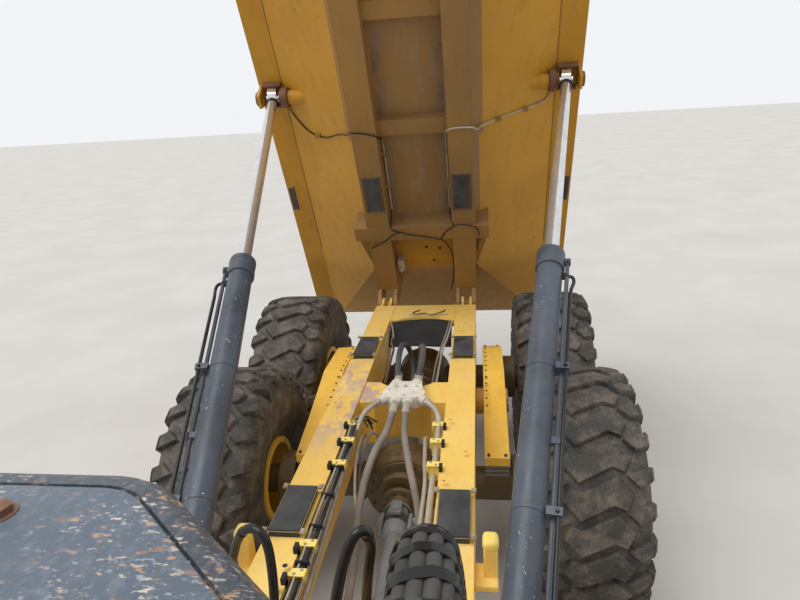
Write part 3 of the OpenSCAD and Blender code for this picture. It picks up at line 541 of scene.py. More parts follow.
# The tyre's section from its bead outwards, as (radius, distance across from the middle)
CARCASS = ((0.325, 0.296), (0.35, 0.297), (0.378, 0.311), (0.44, 0.338), (0.51, 0.361), (0.58, 0.3725),
           (0.65, 0.3735), (0.71, 0.372), (0.767, 0.366), (0.813, 0.347), (0.845, 0.326), (0.867, 0.303),
           (0.887, 0.255), (0.895, 0.185), (0.895, 0))
# Outlines on the unrolled tread, in metres: across from its middle, and around the wheel
CENTRE_LUG = ((-0.22, 0.027), (-0.172, -0.066), (-0.1, -0.036), (0.118, -0.142),
              (0.22, -0.027), (0.172, 0.066), (0.1, 0.036), (-0.118, 0.142))
SHOULDER_LUG = ((0.19, 0.095), (0.262, 0.165), (0.345, 0.132), (0.36, 0.112), (0.36, 0.034),
                (0.285, 0.05))
# Where a lug's tip is, as radius to distance across, over its shoulder and down the sidewall
TIPS = ((0.0, 1.0), (0.2, 1.0), (0.29, 0.99), (0.347, 0.968), (0.37, 0.925))


def tip_radius(across):
    """The lugs' outer radius at a distance from the tread's middle"""
    across = abs(across)
    for (a, low), (b, high) in zip(TIPS, TIPS[1:]):
        if across <= b:
            return TYRE_R * (low + (high - low) * (across - a) / (b - a))
    return TYRE_R * TIPS[-1][1]


def lug(shape, outline, turn, flip, hand):
    """A lug on the tread, with sloping walls and its outline bent round the wheel"""
    mid = [sum(c) / len(outline) for c in zip(*outline)]
    points = []
    for depth, grow in ((-0.012, 1.1), (TREAD_DEPTH * 0.85, 1.01), (TREAD_DEPTH, 0.95)):
        for u, v in outline:
            u = (mid[0] + (u - mid[0]) * grow) * flip
            v = (mid[1] + (v - mid[1]) * grow) * flip * hand
            r = tip_radius(u) - TREAD_DEPTH + depth
            a = turn + v / TYRE_R
            points.append((r * math.cos(a), r * math.sin(a), u))
    n = len(outline)
    shape.add(points, wall(n, 3) + [tuple(range(2 * n, 3 * n))])


def shoulder_wall(shape, turn, flip, hand):
    """The part of a shoulder lug that runs down the sidewall"""
    # Share of the tyre's radius, and how far inside its side
    section = ((0.968, 0.03), (0.925, 0.006), (0.83, 0.001), (0.8, 0.02), (0.9, 0.075))
    turns = [turn + v * flip * hand / TYRE_R for v in (0.03, 0.116)]
    shape.drawn(*[[(TYRE_R * r * math.cos(a), TYRE_R * r * math.sin(a), (TYRE_HALF - z) * flip)
                   for r, z in section] for a in turns])


def tyres():
    profile = CARCASS + tuple((r, -z) for r, z in CARCASS[-2::-1])
    octagon = [math.pi * k / 4 for k in range(8)]
    for wheel in WHEELS:
        shape = Shape(wheel_frame(wheel))
        shape.lathe(profile, 96, closed=True)
        for ring_r in (0.46, 0.66):
            shape.lathe([(ring_r + 0.008 * math.cos(a), TYRE_HALF - 0.008 + 0.007 * math.sin(a))
                         for a in octagon], 72, closed=True)
        hand = WHEELS[wheel]
        for k in range(PITCHES):
            turn = 2 * math.pi * k / PITCHES
            lug(shape, CENTRE_LUG, turn, 1, hand)
            for flip in (1, -1):
                lug(shape, SHOULDER_LUG, turn, flip, hand)
                shoulder_wall(shape, turn, flip, hand)
        made = shape.piece(f"tyre_tread_{wheel}", f"wheel_{wheel}", TYRE, smooth=30)
        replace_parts(made, f"tyre_{wheel}")


def wheel_nuts():
    for wheel in WHEELS:
        shape = Shape(wheel_frame(wheel))
        shape.bolt_circle((0, 0, 0.24), 2, 0.172, 16, 0.013, 0.026, 0.5)
        shape.bolt_circle((0, 0, 0.0725), 2, 0.262, 20, 0.017, 0.026, 0.5)
        shape.lathe([(0.0, 0.262), (0.06, 0.262), (0.075, 0.255), (0.08, 0.24)], 36)
        shape.piece(f"wheel_nuts_{wheel}", f"wheel_{wheel}", YELLOW)


# Rubber pads along the frame: middle and length. Their rims stand off them, as (near, far)
PADS = ((0.78, 0.44), (3.255, 0.41))
PAD_Y = (FRAME_HALF + FRAME_IN) / 2
PAD_WIDE = 0.18
RIM = (0.001, 0.008)


def pad_frames():
    inner, outer = PAD_Y - PAD_WIDE / 2, PAD_Y + PAD_WIDE / 2
    height = (FRAME_TOP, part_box("body_pads")[1][2] - 0.01)
    far, tab_top = RIM[1], FRAME_TOP + 0.01
    for number, (x, length) in enumerate(PADS):
        low, high = x - length / 2, x + length / 2
        for side, s in SIDES.items():
            shape, bolts = Shape(), Shape()
            for y in ((inner - far, inner - RIM[0]), (outer + RIM[0], outer + far)):
                shape.box((low - far, high + far), span(s, *y), height)
            for end in ((low - far, low - RIM[0]), (high + RIM[0], high + far)):
                shape.box(end, span(s, inner - far, outer + far), height)
            for x_end in (low, high):
                for y, out in ((inner - far, -0.03), (outer + far, 0.03)):
                    shape.box((x_end - 0.022, x_end + 0.022), span(s, y, y + out), (FRAME_TOP, tab_top))
                    bolts.bolt((x_end, s * (y + out * 0.55), tab_top), (0, 0, 1), 0.009, 0.01)
            shape.piece(f"pad_frame_{number}_{side}", "rear_frame", PAD_RIM, 0.003)
            bolts.piece(f"pad_bolts_{number}_{side}", "rear_frame", STEEL)


# Routes of the hoses and pipes, as the model's source has them, with name, radius and finish
PORT_Z = 1.645
HOSES = (
    ("forward_hose_right", 0.026, DUSTY_HOSE,
     ((1.975, -0.035, PORT_Z), (2.02, -0.035, PORT_Z), (2.14, -0.038, 1.64), (2.33, -0.055, 1.61),
      (2.52, -0.112, 1.56), (2.7, -0.154, 1.47), (2.84, -0.18, 1.35), (2.95, -0.19, 1.22),
      (3.12, -0.18, 1.14), (3.4, -0.16, 1.12), (3.8, -0.15, 1.12), (4.09, -0.15, 1.12),
      (4.15, -0.15, 1.12))),
    ("forward_hose_left", 0.024, DUSTY_HOSE,
     ((1.975, 0.062, PORT_Z), (2.02, 0.062, PORT_Z), (2.15, 0.066, 1.64), (2.37, 0.085, 1.61),
      (2.58, 0.128, 1.56), (2.75, 0.175, 1.49), (2.87, 0.215, 1.39), (2.97, 0.23, 1.26),
      (3.13, 0.22, 1.17), (3.4, 0.19, 1.13), (3.8, 0.18, 1.12), (4.09, 0.18, 1.12),
      (4.15, 0.18, 1.12))),
    ("rear_loop_right", 0.026, HOSE,
     ((1.595, -0.06, PORT_Z), (1.55, -0.062, 1.648), (1.4, -0.078, 1.71), (1.2, -0.088, 1.745),
      (1.00, -0.086, 1.735), (0.85, -0.06, 1.665), (0.8, -0.03, 1.54), (0.85, -0.01, 1.4),
      (1.00, -0.02, 1.31), (1.2, -0.05, 1.28), (1.4, -0.06, 1.28), (1.54, -0.06, 1.28))),
    ("rear_loop_left", 0.028, HOSE,
     ((1.595, 0.105, PORT_Z), (1.55, 0.107, 1.648), (1.4, 0.122, 1.71), (1.22, 0.125, 1.74),
      (1.03, 0.106, 1.73), (0.89, 0.076, 1.66), (0.84, 0.06, 1.54), (0.89, 0.06, 1.4),
      (1.03, 0.08, 1.32), (1.2, 0.1, 1.29), (1.4, 0.105, 1.28), (1.52, 0.105, 1.28))),
)
PIPES = (
    ("steel_pipe_right", 0.019, STEEL,
     ((1.931, -0.1636, PORT_Z), (1.9616, -0.1893, PORT_Z), (2.1, -0.252, 1.64), (2.23, -0.288, 1.59),
      (2.5, -0.308, 1.53), (2.95, -0.312, 1.48), (3.5, -0.302, 1.45), (4.07, -0.3, 1.44),
      (4.15, -0.3, 1.44))),
    ("steel_pipe_left", 0.021, STEEL,
     ((1.931, 0.2036, PORT_Z), (1.9616, 0.2293, PORT_Z), (2.06, 0.292, 1.64), (2.16, 0.318, 1.6),
      (2.36, 0.32, 1.56), (2.6, 0.318, 1.54), (3.00, 0.312, 1.51), (3.5, 0.312, 1.48),
      (4.07, 0.31, 1.47), (4.15, 0.31, 1.47))),
    ("thin_pipe_left", 0.015, STEEL,
     ((2.19, 0.216, 1.4), (2.192, 0.216, 1.45), (2.23, 0.219, 1.495), (2.35, 0.228, 1.5),
      (2.56, 0.242, 1.5), (2.78, 0.262, 1.49), (3.1, 0.262, 1.47), (3.6, 0.258, 1.44),
      (4.07, 0.255, 1.41), (4.15, 0.255, 1.41))),
)
HITCH_HOSES = (
    ("hitch_hose_right", 0.017, GLOSSY,
     ((4.35, -0.32, 1.54), (4.35, -0.32, 1.64), (4.355, -0.33, 1.9), (4.39, -0.32, 2.18),
      (4.425, -0.262, 2.37), (4.455, -0.205, 2.47), (4.475, -0.15, 2.5), (4.495, -0.108, 2.47),
      (4.52, -0.09, 2.38), (4.56, -0.084, 2.24), (4.66, -0.078, 2.06), (4.81, -0.066, 1.91),
      (4.96, -0.052, 1.8), (5.05, -0.042, 1.7), (5.08, -0.04, 1.6))),
    ("hitch_hose_left", 0.02, GLOSSY,
     ((4.34, 0.2, 1.54), (4.34, 0.2, 1.64), (4.352, 0.2, 1.86), (4.4, 0.205, 2.08),
      (4.435, 0.228, 2.27), (4.45, 0.252, 2.42), (4.474, 0.242, 2.505), (4.5, 0.212, 2.51),
      (4.52, 0.178, 2.44), (4.546, 0.15, 2.335), (4.61, 0.11, 2.13), (4.75, 0.08, 1.96),
      (4.92, 0.06, 1.84), (5.04, 0.048, 1.71), (5.08, 0.04, 1.6))),
)
BUNDLE = ((4.45, 0.493, 1.6), (4.45, 0.493, 1.7), (4.455, 0.49, 1.9), (4.49, 0.484, 2.15),
          (4.545, 0.478, 2.37), (4.625, 0.473, 2.53), (4.75, 0.474, 2.62), (4.9, 0.476, 2.6),
          (5.03, 0.44, 2.48), (5.1, 0.35, 2.28), (5.112, 0.255, 2.05), (5.105, 0.205, 1.83),
          (5.1, 0.19, 1.7), (5.1, 0.19, 1.6))
BUNDLE_R = 0.104
CABLE_COUNT = 11
# The strip round the bundle: advance in a turn, width and thickness, and the step along the bundle
STRIP_PITCH, STRIP_WIDE, STRIP_THICK, STRIP_STEP = 0.06, 0.037, 0.007, 0.004
# Thin cables and tubes along the right beam's inner edge: radius, finish, places across and height
LOOM = ((0.008, STAINLESS, -0.285, 1.588), (0.007, GLOSSY, -0.3, 1.602), (0.009, HOSE, -0.318, 1.592),
        (0.007, STEEL, -0.334, 1.604), (0.006, GLOSSY, -0.346, 1.586), (0.008, GLOSSY, -0.306, 1.578))


def every(path, step, start=0.0):
    """Points at a regular distance along a path, each with the way it runs there"""
    left = start
    for a, b in zip(path, path[1:]):
        length = (b - a).length
        way = (b - a) / length
        while left <= length:
            yield a + way * left, way
            left += step
        left -= length


def route_piece(name, r, material, route, sides=18, steps=10):
    shape = Shape()
    shape.tube(eased(route, steps), r, sides)
    shape.piece(name, "rear_frame", material)


def ring(shape, at, way, r, length, sides=20):
    """A short collar round a line at a place"""
    at, way = Vector(at), Vector(way).normalized() * length / 2
    shape.tube([at - way, at - way * 0.8, at + way * 0.8, at + way], [r * 0.94, r, r, r * 0.94], sides)


def band(shape, x, r, length, bore):
    """An open ring across a frame's X axis"""
    h = length / 2
    shape.lathe_at(Matrix.Translation((x, 0, 0)) @ Matrix.Rotation(math.pi / 2, 4, "Y"),
                   [(bore, -h), (r * 0.94, -h), (r, -h * 0.8), (r, h * 0.8), (r * 0.94, h), (bore, h)],
                   40, closed=True)


def start_of(route):
    """A route's first point and the way it leaves"""
    start = Vector(route[0])
    return start, (Vector(route[1]) - start).normalized()


def hoses():
    for name, r, material, route in HOSES + PIPES + HITCH_HOSES:
        route_piece(name, r, material, route)
    fittings, ties = Shape(), Shape()
    for name, r, material, route in HOSES:
        start, way = start_of(route)
        fittings.tube([start, start + way * 0.035], r * 1.55, 6)
        fittings.tube([start + way * 0.035, start + way * 0.14, start + way * 0.15],
                      [r * 1.22, r * 1.16, r * 1.02], 24)
        for k in (0.06, 0.085, 0.11):
            ring(fittings, start + way * k, way, r * 1.28, 0.01)
        end, way = start_of(route[::-1])
        fittings.tube([end + way * 0.12, end + way * 0.11, end + way * 0.02],
                      [r * 1.02, r * 1.2, r * 1.25], 24)
        ring(fittings, end + way * 0.012, -way, r * 1.6, 0.024, 6)
    for name, r, material, route in PIPES:
        start, way = start_of(route)
        ring(fittings, start + way * 0.03, way, r * 1.7, 0.03, 6)
        ring(fittings, start + way * 0.06, way, r * 1.35, 0.03)
    for name, r, material, route in HITCH_HOSES:
        for at, way in every(eased(route, 10), 0.42, 0.12):
            ring(ties, at, way, r * 1.12, 0.016)
        ring(fittings, route[0], (0, 0, 1), r * 1.5, 0.05, 6)
        ring(fittings, Vector(route[-1]) + Vector((0, 0, 0.02)), (0, 0, 1), r * 1.5, 0.04, 6)
    fittings.piece("hose_fittings", "rear_frame", STEEL, 0.002)
    ties.piece("hose_ties", "rear_frame", PLASTIC)


def bundle():
    """The thick bundle over the hitch: grey hoses inside a flat black strip that is wound round them"""
    core, strip, cables = Shape(), Shape(), Shape()
    path = eased(BUNDLE, 14)
    core.tube(path, BUNDLE_R * 0.8, 32)
    across = Vector((0, 1, 0))
    frames = []
    for at, way in every(path, STRIP_STEP):
        across = (across - way * across.dot(way)).normalized()
        frames.append((at, way, across))
    for lane in range(CABLE_COUNT):
        turn = 2 * math.pi * lane / CABLE_COUNT
        cables.tube([at + Matrix.Rotation(turn + k * 0.012, 3, way) @ side * BUNDLE_R * 0.74
                     for k, (at, way, side) in enumerate(frames[::6])], BUNDLE_R * 0.24, 12)
    points, faces = [], []
    for k, (at, way, side) in enumerate(frames):
        out = Matrix.Rotation(2 * math.pi * k * STRIP_STEP / STRIP_PITCH, 3, way) @ side
        for u, r in ((-0.5, -1), (-0.46, 0), (0.46, 0), (0.5, -1)):
            points.append(at + way * (u * STRIP_WIDE) + out * (BUNDLE_R + STRIP_THICK * r))
        if k:
            n = 4 * k
            faces += [(n - 4 + i, n - 4 + (i + 1) % 4, n + (i + 1) % 4, n + i) for i in range(4)]
    foot, up = Vector(BUNDLE[0]), Vector((0, 0, 1))
    strip.tube([foot - up * 0.01, foot + up * 0.05], BUNDLE_R, 32)
    strip.add(points, faces)
    core.piece("bundle_core", "rear_frame", PLASTIC)
    strip.piece("bundle_wrap", "rear_frame", GLOSSY, smooth=50)
    cables.piece("bundle_hoses", "rear_frame", CABLES)


FRONT_BOX_TOP = 1.54
BRACKET_TOP = 1.598


def hose_bracket():
    """The bracket over the hitch that the hoses end in, and the bases that they rise from"""
    plate, rings = Shape(), Shape()
    plate.prism([(4.7, -0.1), (5.1, -0.1), (5.17, -0.03), (5.22, 0.1), (5.22, 0.25), (5.14, 0.31),
                 (4.7, 0.31)], (1.583, BRACKET_TOP), 2)
    for y in (-0.09, 0.29):
        plate.box((4.7, 4.78), (y - 0.008, y + 0.008), (FRONT_BOX_TOP, 1.59))
    plate.box((4.7, 4.715), (-0.1, 0.31), (FRONT_BOX_TOP, 1.59))
    for x, y, r in ((5.08, -0.04, 0.03), (5.08, 0.04, 0.034), (5.1, 0.19, 0.112), (4.35, -0.32, 0.03),
                    (4.34, 0.2, 0.034), (4.45, 0.493, 0.112)):
        low = FRONT_BOX_TOP if x < 4.4 else BRACKET_TOP
        ring(rings, (x, y, low + 0.012), (0, 0, 1), r, 0.024, 32)
        rings.bolt_circle((x, y, low + 0.024), 2, r - 0.012, 6, 0.006, 0.006)
    plate.piece("hose_bracket", "rear_frame", FRAME_YELLOW, 0.003)
    rings.piece("hose_bases", "rear_frame", DARK_STEEL, 0.002)


def loom():
    """Thin tubes and cables on the right beam's inner edge, held by ties"""
    for number, (r, material, y, z) in enumerate(LOOM):
        sway = [0.004 * math.sin(number * 1.7 + k * 1.3) for k in range(9)]
        route = [(1.98 + number * 0.02, y + 0.1, z - 0.1), (2.05, y + 0.05, z - 0.03)]
        route += [(2.16 + k * 0.235, y + sway[k], z + sway[(k * 4) % 9] * 0.8 - 0.0015 * k) for k in range(9)]
        route += [(4.13, y, z - 0.03), (4.2, y, z - 0.07)]
        route_piece(f"loom_{number}", r, material, route, 10, 6)
    ties = Shape()
    for k in range(7):
        x = 2.2 + k * 0.29
        ties.box((x - 0.006, x + 0.006), (-0.356, -0.275), (1.568, 1.614))
    ties.piece("loom_ties", "rear_frame", PLASTIC, 0.003)
    route_piece("curled_hose", 0.01, DUSTY_HOSE,
                ((2.14, -0.12, 1.36), (2.14, -0.16, 1.46), (2.18, -0.205, 1.5), (2.3, -0.235, 1.47),
                 (2.44, -0.25, 1.38), (2.52, -0.25, 1.26)), 12, 8)
    route_piece("thin_hose_right", 0.011, STEEL,
                ((2.12, -0.255, 1.43), (2.17, -0.258, 1.48), (2.26, -0.262, 1.51), (2.44, -0.262, 1.49),
                 (2.64, -0.242, 1.44), (2.82, -0.21, 1.36), (2.92, -0.17, 1.24)), 12, 8)


def clamps():
    """Folded clamp tabs over the pipes, each beside a notch of the beams, with two screws"""
    tabs, screws = Shape(), Shape()
    for x in (2.205, 2.435, 2.725, 3.505, 3.725):
        for s in (1, -1):
            tabs.box((x - 0.028, x + 0.028), span(s, 0.275, 0.372), (1.6, 1.61))
            tabs.box((x - 0.028, x + 0.028), span(s, 0.275, 0.285), (1.556, 1.605))
            tabs.box((x - 0.018, x + 0.018), span(s, 0.284, 0.361), (1.49 if s > 0 else 1.545, 1.601))
            for dx, y in ((-0.014, 0.3), (0.014, 0.335)):
                screws.bolt((x + dx, s * y, 1.61), (0, 0, 1), 0.007, 0.007)
    tabs.piece("clamp_tabs", "rear_frame", BRIGHT_YELLOW, 0.003)
    screws.piece("clamp_screws", "rear_frame", STEEL)


# Round holes in the beams' top, drawn as dark discs of painted shade on the paint: along, across and radius
HOLES = ((3.716, -0.385, 0.014), (3.863, -0.388, 0.016), (4.3, -0.47, 0.02), (4.3, 0.47, 0.02),
         (2.95, 0.4, 0.006), (2.62, 0.53, 0.006), (2.2, 0.41, 0.006), (1.95, -0.52, 0.006),
         (0.3, 0.42, 0.007), (0.3, -0.42, 0.007), (4.62, 0.41, 0.012), (4.62, -0.41, 0.012))
# Weld beads along the beams: from, to, across and height
BEADS = ((4.17, 4.79, FRAME_IN, 1.545), (1.47, 1.82, FRAME_IN, 1.585), (-0.54, -0.06, FRAME_IN, 1.602),
         (0.83, 1.14, FRAME_HALF + 0.002, 1.21), (3.48, 3.63, FRAME_HALF + 0.002, 1.492))
# Height of a mark that lies on the paint
SKIN = 0.0012


def beam_details():
    """Dark discs of painted shade for the holes, weld beads and bolts on the frame's beams"""
    holes, beads, bolts = (Shape() for _ in range(3))
    for x, y, r in HOLES:
        # Painted shade: a thin dark disc on the paint for the inside of each hole
        holes.tube([(x, y, FRAME_TOP), (x, y, FRAME_TOP + SKIN)], r, 20)
        beads.lathe_at(Matrix.Translation((x, y, FRAME_TOP)),
                       [(r, 0), (r + 0.004, 0.0026), (r + 0.008, 0)], 20)
    for s in (1, -1):
        for low, high, y, z in BEADS:
            beads.tube([(low, s * y, z), (high, s * y, z)], 0.007, 6)
        for k in range(6):
            bolts.bolt((4.22 + 0.11 * k, s * 0.31, FRONT_BOX_TOP), (0, 0, 1), 0.014, 0.016)
    holes.piece("beam_hole_shade", "rear_frame", PLASTIC, slot="yellow_paint")
    beads.piece("beam_beads", "rear_frame", FRAME_YELLOW)
    bolts.piece("crossmember_bolts", "rear_frame", DARK_STEEL)


# What lies and hangs in the frame's rear opening, from the rear plate to the manifold
REAR_WIRES = (
    (0.006, GLOSSY, ((-0.36, -0.05, 1.606), (-0.26, -0.12, 1.612), (-0.19, -0.08, 1.618),
                     (-0.22, 0.02, 1.616), (-0.17, 0.1, 1.616), (-0.24, 0.18, 1.614),
                     (-0.34, 0.24, 1.608))),
    (0.005, STEEL, ((-0.2, -0.16, 1.612), (-0.15, -0.06, 1.622), (-0.19, 0.05, 1.617),
                    (-0.13, 0.13, 1.62), (-0.22, 0.28, 1.609))),
    (0.007, STEEL, ((0.05, -0.33, 1.6), (0.22, -0.29, 1.585), (0.36, -0.27, 1.56), (0.45, -0.285, 1.51))),
    (0.011, STEEL, ((0.02, 0.335, 1.6), (0.22, 0.325, 1.6), (0.42, 0.3, 1.57), (0.6, 0.265, 1.53),
                    (0.85, 0.25, 1.5), (1.2, 0.24, 1.48), (1.45, 0.235, 1.46))),
    (0.009, DUSTY_HOSE, ((0.00, 0.31, 1.6), (0.24, 0.3, 1.61), (0.44, 0.275, 1.58),
                         (0.62, 0.24, 1.53), (0.86, 0.215, 1.5), (1.2, 0.205, 1.48),
                         (1.45, 0.2, 1.46))),
    (0.012, STAINLESS, ((0.42, -0.27, 1.57), (0.62, -0.245, 1.6), (0.8, -0.205, 1.61),
                        (1.05, -0.2, 1.6), (1.3, -0.195, 1.59), (1.47, -0.19, 1.582))))
FLAP_ROWS, FLAP_COLUMNS, FLAP_HALF = 8, 12, 0.335


def rear_opening():
    """A rubber flap that hangs from the rear plate, and the wires and tubes over it"""
    points, faces = [], []
    for i in range(FLAP_ROWS + 1):
        t = i / FLAP_ROWS
        x = -0.1 + 0.42 * t
        z = 1.59 - 0.15 * t * t - 0.015 * math.sin(3 * t)
        for j in range(FLAP_COLUMNS + 1):
            y = FLAP_HALF * (2 * j / FLAP_COLUMNS - 1)
            points.append((x + 0.08 * (y / FLAP_HALF) ** 2 * (1 - t) + 0.004 * math.sin(11 * y), y,
                           z + 0.006 * math.sin(9 * y + i)))
    across = FLAP_COLUMNS + 1
    for row in range(0, FLAP_ROWS * across, across):
        faces += [(k, k + 1, k + across + 1, k + across) for k in range(row, row + FLAP_COLUMNS)]
    flap = Shape()
    flap.add(points, faces)
    made = flap.piece("opening_flap", "rear_frame", PLASTIC)
    made.modifiers.new("thick", "SOLIDIFY").thickness = 0.008
    for number, (r, material, route) in enumerate(REAR_WIRES):
        route_piece(f"rear_wire_{number}", r, material, route, 10, 8)


def guides_and_notches():
    """The body's guides with their caps beside the beams, and painted shade for the notches in the beams'
    inner edges, as dark boxes set into the edges
    """
    guides, caps, dark = (Shape() for _ in range(3))
    for s in (1, -1):
        guides.box((3.49, 3.58), span(s, 0.64, 0.715), (1.47, 1.68))
        guides.box((3.47, 3.64), span(s, 0.589, 0.715), (1.45, 1.49))
        caps.box((3.485, 3.585), span(s, 0.635, 0.72), (1.655, 1.72))
        # Painted shade: a dark box in the beam's inner top edge for the shade inside each notch
        for x in (2.24, 2.47, 2.76, 3.54, 3.76):
            dark.box((x, x + 0.05), span(s, FRAME_IN, FRAME_IN + 0.022), (FRAME_TOP - 0.07, FRAME_TOP + SKIN))
    guides.piece("body_guides", "rear_frame", FRAME_YELLOW, 0.008)
    caps.piece("guide_caps", "rear_frame", BRIGHT_YELLOW, 0.022)
    dark.piece("beam_notch_shade", "rear_frame", PLASTIC, slot="yellow_paint")


def manifold():
    """The junction block: round ports on all sides of a cast body, with split flanges and cap screws"""
    shape = Shape()
    shape.prism([(1.64, -0.1), (1.76, -0.13), (1.85, -0.16), (1.93, -0.08), (1.93, 0.12), (1.85, 0.2),
                 (1.76, 0.17), (1.64, 0.145)], (1.58, 1.68), 2)
    shape.tube([(1.93, -0.035, PORT_Z), (1.975, -0.035, PORT_Z)], 0.036, 28)
    shape.tube([(1.93, 0.062, PORT_Z), (1.975, 0.062, PORT_Z)], 0.036, 28)
    for y in (-0.06, 0.105):
        shape.tube([(1.64, y, PORT_Z), (1.595, y, PORT_Z)], 0.036, 28)
        shape.tube([(1.74, y, 1.66), (1.74, y, 1.696)], 0.022, 28)
    for y, way, x in ((-0.035, 1, 1.93), (0.062, 1, 1.93), (-0.06, -1, 1.64), (0.105, -1, 1.64)):
        ring(shape, (x + way * 0.012, y, PORT_Z), (1, 0, 0), 0.045, 0.024, 28)
        ring(shape, (x + way * 0.034, y, PORT_Z), (1, 0, 0), 0.04, 0.014, 28)
        for dy in (-0.036, 0.036):
            for dz in (-0.02, 0.022):
                shape.bolt((x + way * 0.02, y + dy, PORT_Z + dz), (way, 0, 0), 0.007, 0.012)
    for x, y, turn in ((1.885, 0.165, 40), (1.885, -0.125, -40)):
        way = Vector((math.cos(math.radians(turn)), math.sin(math.radians(turn)), 0))
        shape.tube([Vector((x, y, PORT_Z)) - way * 0.04, Vector((x, y, PORT_Z)) + way * 0.06], 0.032, 28)
        for k, r in ((0.012, 0.042), (0.034, 0.04), (0.054, 0.037)):
            ring(shape, Vector((x, y, PORT_Z)) + way * k, way, r, 0.016, 28)
    for y in (-0.06, 0.022, 0.105):
        shape.bolt((1.74, y, 1.696), (0, 0, 1), 0.013, 0.012)
    for x, y in ((1.8, -0.11), (1.8, 0.16), (1.68, -0.075), (1.68, 0.125), (1.9, 0.02)):
        shape.bolt((x, y, 1.68), (0, 0, 1), 0.01, 0.016)
    made = shape.piece("manifold_casting", "rear_frame", CAST, 0.004)
    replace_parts(made, "hydraulic_manifold")


def axle_details():
    """Bolt circles and covers on the axle housings, drive flanges, yokes and spiders"""
    for node, x, nose, body in (("mid", MID_AXLE, 1, "rear_frame"), ("rear", 0.0, 1, "rear_frame"),
                                ("front", FRONT_AXLE, -1, "front_half")):
        trim, bolts, joint = Shape(), Shape(), Shape()
        for end in (1, -1):
            ring(trim, (x + end * 0.15, 0, TYRE_R), (1, 0, 0), 0.278, 0.03, 48)
            bolts.bolt_circle((x + end * 0.163, 0, TYRE_R), (0, end), 0.252, 16, 0.013, 0.016)
        for s in (1, -1):
            ring(trim, (x, s * 0.33, TYRE_R), (0, 1, 0), 0.155, 0.03, 36)
            ring(trim, (x, s * 0.9, TYRE_R), (0, 1, 0), 0.195, 0.03, 36)
            bolts.bolt_circle((x, s * 0.885, TYRE_R), (1, -s), 0.175, 12, 0.011, 0.014)
        tip = x + nose * 0.42
        ring(trim, (tip - nose * 0.11, 0, TYRE_R), (1, 0, 0), 0.15, 0.04, 40)
        bolts.bolt_circle((tip - nose * 0.09, 0, TYRE_R), (0, nose), 0.128, 10, 0.009, 0.012)
        if node != "front":
            ring(joint, (tip - 0.012, 0, TYRE_R), (1, 0, 0), 0.105, 0.024, 32)
            for s in (1, -1):
                joint.box((tip, tip + 0.13), (-0.045, 0.045), [TYRE_R + z for z in span(s, 0.092, 0.125)])
                joint.box((tip + 0.04, tip + 0.2), span(s, 0.092, 0.122), (TYRE_R - 0.045, TYRE_R + 0.045))
                ring(joint, (tip + 0.085, 0, TYRE_R + s * 0.118), (0, 0, 1), 0.034, 0.05, 20)
                ring(joint, (tip + 0.085, s * 0.118, TYRE_R), (0, 1, 0), 0.034, 0.05, 20)
            joint.tube([(tip + 0.16, 0, TYRE_R), (tip + 0.24, 0, TYRE_R), (tip + 0.27, 0, TYRE_R)],
                       [0.095, 0.085, 0.06], 28)
            joint.piece(f"drive_yoke_{node}", body, SHAFT_GREY, 0.006)
        trim.piece(f"axle_trim_{node}", body, DIRTY_YELLOW, 0.004)
        bolts.piece(f"axle_bolts_{node}", body, DARK_STEEL)


# The walking beams' trunnions, along and up
TRUNNION = (0.985, 1.15)


def walking_beam_details():
    """Bolt rows along the beams, end caps on the trunnions and bolted seats over the axles"""
    for side, s in SIDES.items():
        bolts, caps = Shape(), Shape()
        for k in range(11):
            t = k / 10
            x = 0.485 + 1.12 * t
            z = 1.48 + 0.02 * min(1, t * 1.8) - 0.135 * max(0, t - 0.5)
            bolts.bolt((x, s * 0.685, z), (0, 0, 1), 0.008, 0.01)
        bolts.bolt_circle((TRUNNION[0], s * 0.882, TRUNNION[1]), (1, s), 0.09, 10, 0.01, 0.012)
        ring(caps, (TRUNNION[0], s * 0.886, TRUNNION[1]), (0, 1, 0), 0.055, 0.012, 32)
        for x in (0.0, MID_AXLE):
            for dx in (-0.1, 0.1):
                for y in (0.69, 0.82):
                    bolts.bolt((x + dx, s * y, 1.25), (0, 0, 1), 0.012, 0.02)
        bolts.piece(f"walking_bolts_{side}", "rear_frame", DARK_STEEL)
        caps.piece(f"trunnion_cap_{side}", "rear_frame", YELLOW, 0.004)


# The hoist rods' eyes in the body's frame, and their cylinders' balls in the truck's: along and up
EYE = (2.339, 0.821)
HOIST_FOOT = (4.612, 1.406)


